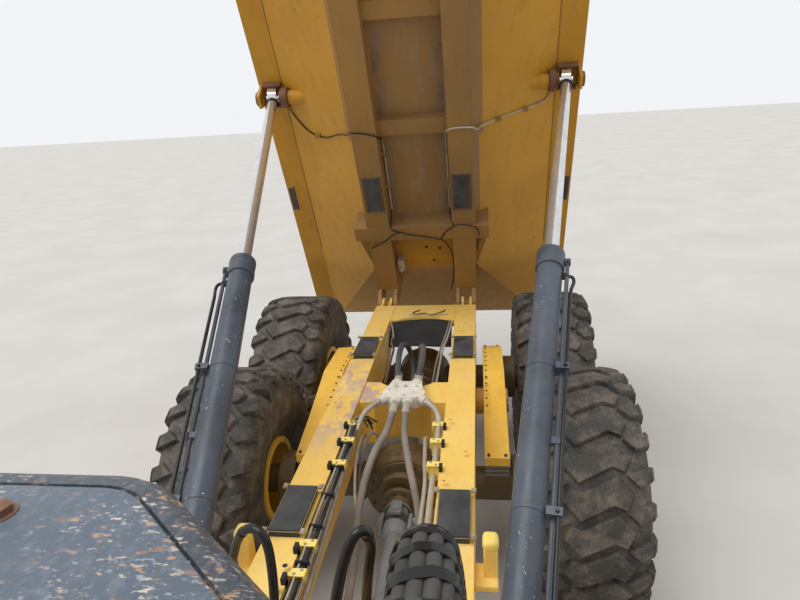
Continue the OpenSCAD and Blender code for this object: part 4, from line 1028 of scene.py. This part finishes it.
def hoist_details():
    """Gland rings, clamps, elbows and wipers on the hoist cylinders, and the bosses at their eyes"""
    for side, s in SIDES.items():
        place = hoist_frame(side)
        barrel, pipe, rod = Shape(place), Shape(place), Shape(place)
        band(barrel, 2.95, 0.101, 0.05, 0.084)
        band(barrel, 3.066, 0.1, 0.032, 0.084)
        barrel.bolt_circle((3.082, 0, 0), 0, 0.086, 12, 0.007, 0.008)
        for x in (1.15, 2.05):
            band(barrel, x, 0.092, 0.035, 0.084)
            barrel.box((x - 0.022, x + 0.022), (-0.165, -0.085), (-0.022, 0.06))
            pipe.bolt((x, -0.14, 0.06), (0, 0, 1), 0.009, 0.014)
        band(barrel, 0.17, 0.094, 0.03, 0.084)
        pipe.tube(eased([(2.87, -0.08, 0), (2.87, -0.135, 0), (2.85, -0.16, 0), (2.8, -0.165, 0.004),
                         (2.7, -0.15, 0.03), (2.55, -0.146, 0.04), (2.05, -0.146, 0.04), (1.15, -0.146, 0.04),
                         (0.5, -0.146, 0.04), (0.34, -0.13, 0.03), (0.26, -0.09, 0.02)], 8), 0.012, 14)
        ring(pipe, (2.87, -0.105, 0), (0, 1, 0), 0.026, 0.035, 6)
        for x in (0.36, 3.0):
            ring(pipe, (x, -0.118, 0), (1, 0, 0), 0.022, 0.04, 6)
        band(rod, 5.672, 0.062, 0.046, 0.05)
        barrel.piece(f"hoist_bands_{side}", f"hoist_barrel_{side}", BARREL, 0.003)
        pipe.piece(f"hoist_tubes_{side}", f"hoist_barrel_{side}", GLOSSY)
        rod.piece(f"hoist_rod_ring_{side}", f"hoist_rod_{side}", GLOSSY, 0.006)
        boss = Shape(BODY)
        for y, r, length, sides in ((1.405, 0.108, 0.07, 36), (1.428, 0.088, 0.07, 36),
                                    (1.71, 0.075, 0.03, 32)):
            ring(boss, (EYE[0], s * y, EYE[1]), (0, 1, 0), r, length, sides)
        for v in (2.21, 2.443):
            boss.box((v, v + 0.025), span(s, 1.46, 1.665), (0.86, 0.955))
        boss.piece(f"eye_boss_{side}", "dump_body", RUSTY, 0.008, slot="yellow_paint")
        foot = Shape()
        for y, r, length, sides in ((0.79, 0.055, 0.03, 32), (0.805, 0.03, 0.02, 6)):
            ring(foot, (HOIST_FOOT[0], s * y, HOIST_FOOT[1]), (0, 1, 0), r, length, sides)
        foot.piece(f"hoist_foot_pin_{side}", "rear_frame", DARK_STEEL, 0.003)


# Height of the flat middle of the body's underside over its hinge, and of what lies on its crossbeam
FLOOR_N = 0.331
BEAM_N = 0.085


def slope_n(y):
    """Height of the body's sloping underside over its hinge"""
    return FLOOR_N + (abs(y) - 0.6) * 0.624 / 0.86


# Cables and tubes under the body, in its own frame: name, radius, finish and route
BODY_LINES = (
    ("body_cable_right", 0.0075, GLOSSY,
     ((2.25, -1.44, 0.9), (2.1, -1.38, slope_n(1.38) - 0.014), (1.96, -1.22, slope_n(1.22) - 0.012),
      (1.95, -1.02, slope_n(1.02) - 0.012), (2.05, -0.82, slope_n(0.82) - 0.014), (2.13, -0.68, 0.3),
      (2.2, -0.64, 0.19), (2.25, -0.6, 0.105), (2.24, -0.48, 0.1), (2.21, -0.37, 0.1),
      (2.15, -0.335, 0.16), (2.1, -0.33, 0.24))),
    ("body_tube_right", 0.01, STEEL, ((2.08, -0.325, 0.26), (1.95, -0.325, 0.3), (1.2, -0.325, 0.3))),
    ("body_tube_left", 0.01, STEEL, ((2.1, 0.325, 0.25), (1.95, 0.325, 0.3), (1.2, 0.325, 0.3))),
    ("body_pipe_left", 0.009, STEEL,
     ((2.26, 1.44, 0.9), (2.12, 1.36, slope_n(1.36) - 0.016), (2.11, 1.14, slope_n(1.14) - 0.014),
      (2.12, 0.9, slope_n(0.9) - 0.014), (2.12, 0.7, slope_n(0.7) - 0.02), (2.16, 0.64, 0.22),
      (2.24, 0.6, 0.105), (2.25, 0.48, 0.1), (2.24, 0.38, 0.1), (2.19, 0.335, 0.14), (2.1, 0.325, 0.24))),
    ("beam_cable_right", 0.0065, GLOSSY,
     ((1.2, -0.325, 0.29), (1.12, -0.33, 0.16), (1.07, -0.32, BEAM_N), (1.03, -0.23, BEAM_N),
      (0.99, -0.1, BEAM_N), (0.965, 0.02, BEAM_N), (0.93, 0.17, BEAM_N), (0.915, 0.22, BEAM_N))),
    ("beam_cable_left", 0.0065, GLOSSY,
     ((1.2, 0.325, 0.29), (1.15, 0.34, 0.15), (1.09, 0.36, BEAM_N), (1.02, 0.28, BEAM_N),
      (0.93, 0.225, BEAM_N), (0.88, 0.24, 0.11), (0.8, 0.25, 0.2), (0.6, 0.33, 0.22),
      (0.3, 0.335, 0.2), (0.12, 0.3, 0.12))),
    ("beam_cable_out", 0.006, GLOSSY,
     ((1.09, 0.36, BEAM_N), (1.11, 0.46, BEAM_N), (1.07, 0.6, BEAM_N), (0.98, 0.64, 0.09),
      (0.8, 0.63, 0.16), (0.57, 0.615, 0.22), (0.35, 0.612, 0.22))),
    ("arm_cable_right", 0.006, GLOSSY,
     ((1.03, -0.23, BEAM_N), (0.98, -0.34, BEAM_N), (0.9, -0.42, 0.09), (0.82, -0.56, 0.1),
      (0.7, -0.62, 0.16), (0.5, -0.615, 0.22), (0.34, -0.612, 0.2))))


def under_body():
    """Wear plates, weld beads, stiffeners, tubes and cables under the body, with painted shade: darker strips
    along the slopes just outside the rails, and dark discs for the floor's holes
    """
    plates, frames, beads, strips, tabs = (Shape(BODY) for _ in range(5))
    for s in (1, -1):
        for v in (1.293, 3.783):
            plates.box((v + 0.02, v + 0.43), span(s, 0.385, 0.555), (0.0985, 0.103))
            for low, high in ((v + 0.006, v + 0.014), (v + 0.436, v + 0.444)):
                frames.box((low, high), span(s, 0.371, 0.569), (0.0975, 0.106))
            for low, high in ((0.371, 0.379), (0.561, 0.569)):
                frames.box((v + 0.006, v + 0.444), span(s, low, high), (0.0975, 0.106))
        for y in (0.35, 0.6):
            beads.tube([(0.52, s * y, FLOOR_N), (4.9, s * y, FLOOR_N)], 0.01, 6)
        for low, high in ((0.53, 0.9), (1.1, 1.28), (1.76, 3.76), (4.26, 4.9)):
            beads.tube([(low, s * 0.6, 0.113), (high, s * 0.6, 0.113)], 0.006, 6)
        for v in (2.15, 2.31, 3.26, 3.42, 4.3, 4.46):
            beads.tube([(v, s * 0.352, 0.212), (v, s * 0.352, 0.33)], 0.009, 6)
        # Painted shade: thin flat strips in the rails' darker paint along the slopes just outside the rails,
        # for the shade of the rails' outer faces
        for edge, depth, run in ((0.7, 0.012, (2.03, 4.92)), (0.66, 0.01, (1.1, 2.03))):
            outline = [(0.6, slope_n(0.6) - depth), (edge, slope_n(edge) - depth),
                       (edge, slope_n(edge) + 0.001), (0.6, slope_n(0.6) + 0.001)]
            strips.prism(mirrored(outline, s), run, 0)
        beads.tube([(0.2, s * 1.46, 0.953), (4.95, s * 1.46, 0.953)], 0.008, 6)
        tabs.box((0.8, 1.12), span(s, 1.63, 1.7), (0.944, 0.956))
        for y in (0.36, 0.55):
            strips.box((0.1, 0.13), span(s, y, y + 0.04), (0.05, 0.1))
    plates.piece("wear_faces", "dump_body", RUBBER, 0.004, slot="dark_steel")
    frames.piece("wear_frames", "dump_body", DARK_STEEL, 0.002)
    beads.piece("body_beads", "dump_body", RAIL_YELLOW)
    strips.piece("body_shade_strips_and_blocks", "dump_body", RAIL_YELLOW, 0.003)
    tabs.piece("ledge_pads", "dump_body", DARK_STEEL, 0.004)

    for name, r, material, route in BODY_LINES:
        shape = Shape(BODY)
        shape.tube(eased(route, 6), r, 10)
        shape.piece(name, "dump_body", material)
    clips, sensor, holes = (Shape(BODY) for _ in range(3))
    for v, y in ((2.11, 1.14), (2.12, 0.86), (1.95, -1.1), (1.9, 0.325), (1.5, 0.325),
                 (1.9, -0.325), (1.5, -0.325)):
        n = FLOOR_N if abs(y) < 0.6 else slope_n(y)
        clips.box((v - 0.02, v + 0.02), (y - 0.03, y + 0.03), (n - 0.045, n))
    clips.piece("body_clips", "dump_body", RAIL_YELLOW, 0.003)
    sensor.box((0.36, 0.52), (-0.33, -0.25), (0.2, 0.332))
    for high, low, r, sides in ((0.2, 0.17, 0.026, 20), (0.17, 0.155, 0.014, 12)):
        sensor.tube([(0.4, -0.29, high), (0.4, -0.29, low)], r, sides)
    sensor.piece("body_sensor", "dump_body", STEEL, 0.004)
    # Painted shade: thin dark discs on the floor's underside for the inside of its holes
    for v, y in ((0.62, 0.02), (0.6, 0.18), (0.42, 0.1)):
        holes.tube([(v, y, FLOOR_N), (v, y, FLOOR_N - 0.0025)], 0.018, 20)
    holes.piece("floor_hole_shade", "dump_body", PLASTIC, slot="yellow_paint")


def inset(outline, t):
    """An outline with each side moved inwards by t, its points taken anticlockwise"""
    made = []
    for i, p in enumerate(outline):
        u = (p - outline[i - 1]).normalized()
        v = (outline[(i + 1) % len(outline)] - p).normalized()
        m, n = Vector((-u.y, u.x)), Vector((-v.y, v.x))
        made.append(p + (m + n) * t / (1 + m.dot(n)))
    return made


def rounded(outline, radii, steps=6):
    """An outline with an arc at each corner"""
    made = []
    for i, p in enumerate(outline):
        u = (outline[i - 1] - p).normalized()
        v = (outline[(i + 1) % len(outline)] - p).normalized()
        half = u.angle(v) / 2
        centre = p + (u + v).normalized() * radii[i] / math.sin(half)
        start, end = p + u * radii[i] / math.tan(half) - centre, p + v * radii[i] / math.tan(half) - centre
        for k in range(steps + 1):
            t = k / steps
            made.append(centre + (start * (1 - t) + end * t).normalized() * radii[i])
    return made


# The roof in plan, as measured: its rear corners are cut off. The walls stand a lip inside it
ROOF_PLAN = [Vector(p) for p in ((7.01, -0.76), (7.01, 0.76), (6.04, 0.76), (5.695, 0.362),
                                 (5.695, -0.362), (6.04, -0.76))]
ROOF_R = (0.12, 0.12, 0.14, 0.1, 0.1, 0.14)
ROOF_LIP = 0.02
WALL_T = 0.05
WALL_Z = (1.96, 3.48)
ROOF_Z = 3.59
HINGE_X = JOINTS["door"]["pos_m"][0] - REAR_AXLE
DOOR_X = (6.115, HINGE_X + 0.02)
DOOR_Z = (2.04, 3.41)


def roof():
    """The roof panel inside its seam, and the rounded edge around it"""
    def level(t, z):
        return [(p.x, p.y, z) for p in rounded(inset(ROOF_PLAN, t), [r - t for r in ROOF_R], 8)]
    edge, panel, bolt = Shape(), Shape(), Shape()
    edge.stack([level(*ring_at) for ring_at in (
        (0.03, 3.48), (0.006, 3.482), (0.0, 3.492), (0.0, 3.568), (0.004, 3.579), (0.011, 3.586),
        (0.018, 3.5885), (0.0285, 3.589), (0.029, 3.584), (0.038, 3.584))])
    panel.stack([level(*ring_at) for ring_at in (
        (0.031, 3.575), (0.031, 3.585), (0.0315, 3.5885), (0.038, ROOF_Z))])
    for made in (edge.piece("roof_edge", "front_half", ROOF_EDGE),
                 panel.piece("roof_panel", "front_half", ROOF)):
        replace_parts(made, "cab_roof")
    for s in (1, -1):
        for x in (5.765, 6.95):
            bolt.tube([(x, s * 0.262, ROOF_Z - 0.008), (x, s * 0.262, ROOF_Z + 0.001)], 0.014, 24)
            bolt.tube([(x, s * 0.262, ROOF_Z), (x, s * 0.262, ROOF_Z + 0.007),
                       (x, s * 0.262, ROOF_Z + 0.009)], [0.011, 0.011, 0.007], 6)
    bolt.piece("roof_bolts", "front_half", RUSTY)


def window(a, b, hole, r=0.06, steps=4):
    """A function that places (along, up, out) on a wall from a to b, and a window's loop along and up it"""
    way = (b - a).normalized()
    out = Vector((way.y, -way.x))

    def place(along, up, far=0.0):
        p = a + way * along + out * far
        return (p.x, p.y, up)
    corners = [Vector((hole[0], hole[2])), Vector((hole[1], hole[2])), Vector((hole[1], hole[3])),
               Vector((hole[0], hole[3]))]
    return place, corners, rounded(corners, [r] * 4, steps)


def panel_with_hole(shape, a, b, ends, z, depth, hole, r=0.06):
    """A flat wall of a thickness between two depths, its ends mitred, with a round-cornered window"""
    place, corners, loop = window(a, b, hole, r)
    length = (b - a).length
    per = len(loop) // 4
    points = []
    for far in depth:
        lean = [-far * ends[0], length + far * ends[1]]
        points += [place(lean[0], z[0], -far), place(lean[1], z[0], -far), place(lean[1], z[1], -far),
                   place(lean[0], z[1], -far)]
        points += [place(p.x, p.y, -far) for p in loop]
    n = 4 + len(loop)
    faces = []
    for base in (0, n):
        for i in range(len(loop)):
            j = (i + 1) % len(loop)
            ci, cj = i // per, j // per
            face = [base + ci, base + 4 + j, base + 4 + i] if ci == cj else \
                [base + ci, base + cj, base + 4 + j, base + 4 + i]
            faces.append(tuple(face))
    for first, count in ((0, 4), (4, len(loop))):
        pairs = [(first + i, first + (i + 1) % count) for i in range(count)]
        faces += [(i, j, n + j, n + i) for i, j in pairs]
    shape.add(points, faces)


def pane_and_gasket(pane, gasket, a, b, hole, r=0.06):
    place, corners, loop = window(a, b, hole, r)

    def ring_of(grow, far):
        middle_of = sum(corners, Vector((0, 0))) / 4
        size = corners[2] - corners[0]
        return [place(middle_of.x + (p.x - middle_of.x) * (1 + 2 * grow / size.x),
                      middle_of.y + (p.y - middle_of.y) * (1 + 2 * grow / size.y), far) for p in loop]
    pane.stack([ring_of(0.004, -0.028), ring_of(0.004, -0.022)])
    for far in (0.0, -WALL_T):
        side = 1 if far == 0.0 else -1
        rings = [ring_of(grow, far + side * out) for grow, out in (
            (0.016, -0.004), (0.016, 0.005), (0.004, 0.008), (-0.022, -0.002), (-0.024, -0.02))]
        gasket.stack(rings + [rings[0]], False, False)


def cab():
    """The cab's walls with their windows, lining and gaskets, its floor, and its door on its own hinges"""
    plan = inset(ROOF_PLAN, ROOF_LIP)
    plan = [Vector((min(p.x, 6.95), p.y)) for p in plan]
    walls, lining, panes, gaskets = Shape(), Shape(), Shape(), Shape()
    holes = {0: (0.11, 1.37, 2.6, 3.42), 1: (6.95 - DOOR_X[1], 6.95 - DOOR_X[0], DOOR_Z[0], DOOR_Z[1]),
             2: (0.09, 0.4, 2.54, 3.39), 3: (0.07, 0.65, 2.54, 3.39), 4: (0.09, 0.4, 2.54, 3.39),
             5: (0.06, 0.76, 2.48, 3.39)}
    for i, a in enumerate(plan):
        b = plan[(i + 1) % len(plan)]
        before, after = a - plan[i - 1], plan[(i + 2) % len(plan)] - b
        ends = [-math.tan(before.angle(b - a) / 2), -math.tan(after.angle(b - a) / 2)]
        for shape, depth in ((walls, (0.0, 0.036)), (lining, (0.036, WALL_T))):
            panel_with_hole(shape, a, b, ends, WALL_Z, depth, holes[i], 0.05 if i != 1 else 0.003)
        if i != 1:
            pane_and_gasket(panes, gaskets, a, b, holes[i], 0.05)
    walls.prism([tuple(p) for p in plan], (1.955, 2.02), 2)
    for z in (2.24, 3.09):
        walls.tube([(HINGE_X, 0.762, z + 0.0605), (HINGE_X, 0.762, z + 0.12)], 0.016, 20)
        walls.box((HINGE_X, HINGE_X + 0.06), (0.739, 0.778), (z + 0.0605, z + 0.12))
    for made in (walls.piece("cab_walls", "front_half", YELLOW, 0.006),
                 lining.piece("cab_lining", "front_half", LINING)):
        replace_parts(made, "cab_shell")
    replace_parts(panes.piece("cab_panes", "front_half", GLASS), "cab_glass")
    gaskets.piece("cab_gaskets", "front_half", PLASTIC, smooth=50)

    leaf, trim, pane, seal, handle = (Shape() for _ in range(5))
    a, b = Vector((DOOR_X[1] - 0.003, 0.74)), Vector((DOOR_X[0] + 0.003, 0.74))
    length = (b - a).length
    z = (DOOR_Z[0] + 0.005, DOOR_Z[1] - 0.005)
    hole = (0.07, length - 0.07, 2.42, z[1] - 0.07)
    panel_with_hole(leaf, a, b, (0, 0), z, (0.0, 0.036), hole, 0.06)
    panel_with_hole(trim, a, b, (0, 0), z, (0.036, WALL_T), hole, 0.06)
    pane_and_gasket(pane, seal, a, b, hole, 0.06)
    for low in (2.24, 3.09):
        leaf.tube([(HINGE_X, 0.762, low), (HINGE_X, 0.762, low + 0.06)], 0.016, 20)
        leaf.box((HINGE_X - 0.06, HINGE_X), (0.739, 0.778), (low, low + 0.06))
    handle.box((6.15, 6.25), (0.74, 0.745), (2.24, 2.32))
    grip = [(x, y, 2.285) for x, y in ((6.165, 0.742), (6.168, 0.762), (6.2, 0.768), (6.232, 0.762),
                                       (6.235, 0.742))]
    handle.tube(eased(grip, 4), 0.007, 10)
    handle.tube([(6.2, 0.744, 2.255), (6.2, 0.748, 2.255)], 0.01, 16)
    for made in (leaf.piece("door_leaf", "cab_door", YELLOW, 0.006),
                 trim.piece("door_trim", "cab_door", LINING)):
        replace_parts(made, "cab_door")
    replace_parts(pane.piece("door_pane", "cab_door", GLASS), "door_glass")
    seal.piece("door_seal", "cab_door", PLASTIC, smooth=50)
    handle.piece("door_handle", "cab_door", PLASTIC, 0.003)


VOXEL = 0.012
MOST_SWELL = 0.012
PIPING_R = 0.005


def cushion(name, low, high, seams):
    """A padded cushion: a rounded block blown up a little by cloth simulation, with piping round it"""
    shape = Shape()
    shape.box(*[(a + 0.01, b - 0.01) for a, b in zip(low, high)])
    made = shape.piece(name, "front_half", CLOTH)
    bpy.context.view_layer.objects.active = made
    made.select_set(True)
    edges = made.modifiers.new("round", "BEVEL")
    edges.width, edges.segments = 0.03, 4
    remesh = made.modifiers.new("voxels", "REMESH")
    remesh.mode, remesh.voxel_size = "VOXEL", VOXEL
    bpy.ops.object.modifier_apply(modifier="round")
    bpy.ops.object.modifier_apply(modifier="voxels")
    start = [v.co.copy() for v in made.data.vertices]
    soft = made.modifiers.new("cloth", "CLOTH")
    soft.settings.use_pressure = True
    soft.settings.uniform_pressure_force = 4
    soft.settings.effector_weights.gravity = 0
    for number in range(1, 21):
        bpy.context.scene.frame_set(number)
    blown = made.evaluated_get(bpy.context.evaluated_depsgraph_get())
    ends = [v.co.copy() for v in blown.to_mesh().vertices]
    blown.to_mesh_clear()
    made.modifiers.remove(soft)
    for v, a, b in zip(made.data.vertices, start, ends):
        move = b - a
        move.length = min(move.length, MOST_SWELL)
        v.co = a + move
    bpy.context.scene.frame_set(1)
    smooth = made.modifiers.new("smooth", "SUBSURF")
    smooth.levels = smooth.render_levels = 1
    made.data.shade_smooth()
    made.select_set(False)
    piping = Shape()
    for route in seams:
        piping.tube(eased(list(route) + [route[0], route[1]], 5)[:-5], PIPING_R, 8)
    piping.piece(f"{name}_piping", "front_half", PIPING)
    return made


def loop_round(axis, at, low, high):
    """A rounded rectangle across an axis, inside a box"""
    u, v = [i for i in range(3) if i != axis]
    corners = ((low[u], low[v]), (high[u], low[v]), (high[u], high[v]), (low[u], high[v]))
    return [(*p[:axis], at, *p[axis:]) for p in rounded([Vector(c) for c in corners], [0.045] * 4, 3)]


def seat():
    """The driver's seat: two padded cushions and a bellows foot"""
    base, low, high = Shape(), (6.00, -0.26, 2.29), (6.52, 0.26, 2.42)
    back_low, back_high = (5.9, -0.25, 2.42), (6.02, 0.25, 3.04)
    made = cushion("seat_cushion", low, high,
                   [loop_round(2, high[2] - 0.026, low, high), loop_round(2, low[2] + 0.026, low, high)])
    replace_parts(made, "seat")
    made = cushion("seat_back", back_low, back_high,
                   [loop_round(0, back_high[0] - 0.024, back_low, back_high)])
    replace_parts(made, "seat")
    for k in range(5):
        z = 2.02 + 0.052 * k
        grow = 0.012 * (k % 2)
        base.stack([loop_round(2, z + dz, (6.08 - g, -0.15 - g), (6.38 + g, 0.15 + g))
                    for dz, g in ((0, grow), (0.026, 0.018), (0.052, grow))])
    base.piece("seat_bellows", "front_half", PLASTIC)


# Places in plan, along and across
TANK_CAP = (8.15, 0.95)
EXHAUST = (7.18, -0.905)


def frame_round(x, y, z):
    """A rectangle across the truck, as a closed route"""
    return [(x, y[a], z[b]) for a, b in ((0, 0), (1, 0), (1, 1), (0, 1), (0, 0))]


def front_details():
    """Louvres, latches, lamp bezels, treads, caps, straps, a heat shield and mirror glass"""
    slats, slots, black, steel_bits, lens, mirror = (Shape() for _ in range(6))
    for s in (1, -1):
        for k in range(9):
            x = 7.55 + 0.11 * k
            outline = [(x, 0.638 * s), (x + 0.075, 0.638 * s), (x + 0.07, 0.668 * s), (x + 0.01, 0.646 * s)]
            slats.prism(outline[::s], (1.72, 2.12), 2)
            slots.box((x + 0.072, x + 0.1), span(s, 0.636, 0.6425), (1.73, 2.11))
        for x in (7.25, 9.05):
            black.box((x - 0.02, x + 0.02), span(s, 0.639, 0.655), (1.58, 1.7))
            black.tube([(x, s * 0.655, 1.6), (x, s * 0.672, 1.6)], 0.014, 16)
        for dy in (-0.052, 0.052):
            at = Vector((9.655, s * 0.71 + dy, 1.24))
            ring(steel_bits, at, (1, 0, 0), 0.05, 0.008, 36)
            lens.tube([at, at + Vector((0.0055, 0, 0)), at + Vector((0.008, 0, 0))],
                      [0.044, 0.042, 0.03], 36)
        black.tube(frame_round(9.659, (s * 0.605, s * 0.815), (1.165, 1.315)), 0.006, 8)
        for x in (7.85, 8.48):
            black.tube(frame_round(x, (s * 0.432, s * 1.154), (1.424, 0.848)), 0.01, 8)
        ring(steel_bits, (TANK_CAP[0], s * TANK_CAP[1], 1.435), (0, 0, 1), 0.06, 0.035, 32)
        ring(black, (TANK_CAP[0], s * TANK_CAP[1], 1.462), (0, 0, 1), 0.045, 0.025, 12)
        mirror.box((7.087, 7.0895), span(s, 1.552, 1.708), (2.937, 3.293))
        for x in (6.1, 7.44):
            for y in (0.86, 1.26, 1.66):
                steel_bits.bolt((x, s * y, 1.975), (0, 0, 1), 0.011, 0.012)
        for y in (0.1, 0.7):
            for z in (1.32, 0.96):
                steel_bits.bolt((9.66, s * y, z), (1, 0, 0), 0.014, 0.014)
    for z in (0.6, 0.93, 1.26, 1.59):
        for k in range(9):
            x = 7.7 + 0.05 * k
            steel_bits.box((x, x + 0.012), (1.2, 1.42), (z + 0.038, z + 0.045))
    for k in range(14):
        a = 2 * math.pi * k / 14
        x, y = EXHAUST[0] + 0.096 * math.cos(a), EXHAUST[1] + 0.096 * math.sin(a)
        steel_bits.box((x - 0.012, x + 0.012), (y - 0.012, y + 0.012), (2.06, 2.8))
    for z in (2.04, 2.8):
        ring(steel_bits, (*EXHAUST, z), (0, 0, 1), 0.106, 0.03, 36)
    slats.piece("hood_louvres", "hood", YELLOW, 0.003)
    slots.piece("hood_slots", "hood", PLASTIC, slot="plastic")
    black.piece("front_trim", "front_half", PLASTIC)
    steel_bits.piece("front_fittings", "front_half", DARK_STEEL, 0.002)
    lens.piece("lamp_lenses", "front_half", CLEAR_LENS)
    mirror.piece("mirror_glass", "front_half", CHROME, 0.001)


# The camera as fitted to the photograph: its place in the truck's frame, its turns from looking straight
# back, and its focal length in pixels of a picture this wide
EYE_POINT = (6.11888, 0.64554, 3.88137)
YAW, PITCH, ROLL = 0.14135, -0.317181, 0.0609187
FOCAL_PX, WIDTH_PX = 595, 800


def camera_and_light():
    """The camera stands where the photographer stood, on the front half, looking back and down"""
    camera = bpy.data.cameras.new("camera")
    camera.lens = camera.sensor_width * FOCAL_PX / WIDTH_PX
    camera.clip_end = 400
    # Ahead, right and up, each turn about one of them as it then is
    view = [Vector((-1, 0, 0)), Vector((0, 1, 0)), Vector((0, 0, 1))]
    for number, angle in ((2, YAW), (1, PITCH), (0, ROLL)):
        turn = Matrix.Rotation(angle, 3, view[number])
        view = [turn @ v for v in view]
    ahead, right, up = view
    made = bpy.data.objects.new("camera", camera)
    turned = Matrix((right, up, -ahead)).transposed().to_4x4()
    made.matrix_world = Matrix.Translation(TRUCK @ Vector(EYE_POINT)) @ turned
    bpy.context.scene.collection.objects.link(made)
    bpy.context.scene.camera = made

    sun = bpy.data.lights.new("sky_glow", "SUN")
    sun.energy = 2.0
    sun.angle = math.radians(50)
    sun.color = (1.0, 0.985, 0.96)
    lamp = bpy.data.objects.new("sky_glow", sun)
    lamp.rotation_euler = Vector((-0.25, 0.35, -1)).to_track_quat("-Z", "Y").to_euler()
    bpy.context.scene.collection.objects.link(lamp)


def sky_strength(nodes, links):
    path = nodes.new("ShaderNodeLightPath")
    most = path.outputs["Is Camera Ray"]
    for name in ("Is Glossy Ray", "Is Transmission Ray"):
        node = nodes.new("ShaderNodeMath")
        node.operation = "MAXIMUM"
        links.new(most, node.inputs[0])
        links.new(path.outputs[name], node.inputs[1])
        most = node.outputs[0]
    spread = nodes.new("ShaderNodeMapRange")
    spread.inputs["To Min"].default_value = SKY_LIT
    spread.inputs["To Max"].default_value = SKY_SEEN
    links.new(most, spread.inputs["Value"])
    return spread.outputs["Result"]


FLOOR_HALF = 120
# How bright the sky is to the camera and in reflections, and as a light
SKY_SEEN, SKY_LIT = 0.95, 0.62


def world_and_floor():
    world = bpy.data.worlds.new("overcast")
    world.use_nodes = True
    bpy.context.scene.world = world
    nodes, links = world.node_tree.nodes, world.node_tree.links
    background = nodes["Background"]
    background.inputs["Color"].default_value = (0.93, 0.95, 0.97, 1)
    links.new(sky_strength(nodes, links), background.inputs["Strength"])

    data = bpy.data.meshes.new("floor")
    corners = [(x * FLOOR_HALF, y * FLOOR_HALF, 0) for x, y in ((-1, -1), (1, -1), (1, 1), (-1, 1))]
    data.from_pydata(corners, [], [(0, 1, 2, 3)])
    floor = bpy.data.objects.new("floor", data)
    bpy.context.scene.collection.objects.link(floor)
    surface = Surface("pale_floor", (208, 205, 201), 0.8)
    surface.tint((201, 198, 193), surface.noise(0.6, detail=3))
    data.materials.append(surface.done())


bpy.context.scene.view_settings.view_transform = "Standard"
camera_and_light()
world_and_floor()
dress_nodes()
tyres()
wheel_nuts()
pad_frames()
hoses()
bundle()
hose_bracket()
loom()
clamps()
beam_details()
rear_opening()
guides_and_notches()
manifold()
axle_details()
walking_beam_details()
hoist_details()
under_body()
roof()
cab()
seat()
front_details()
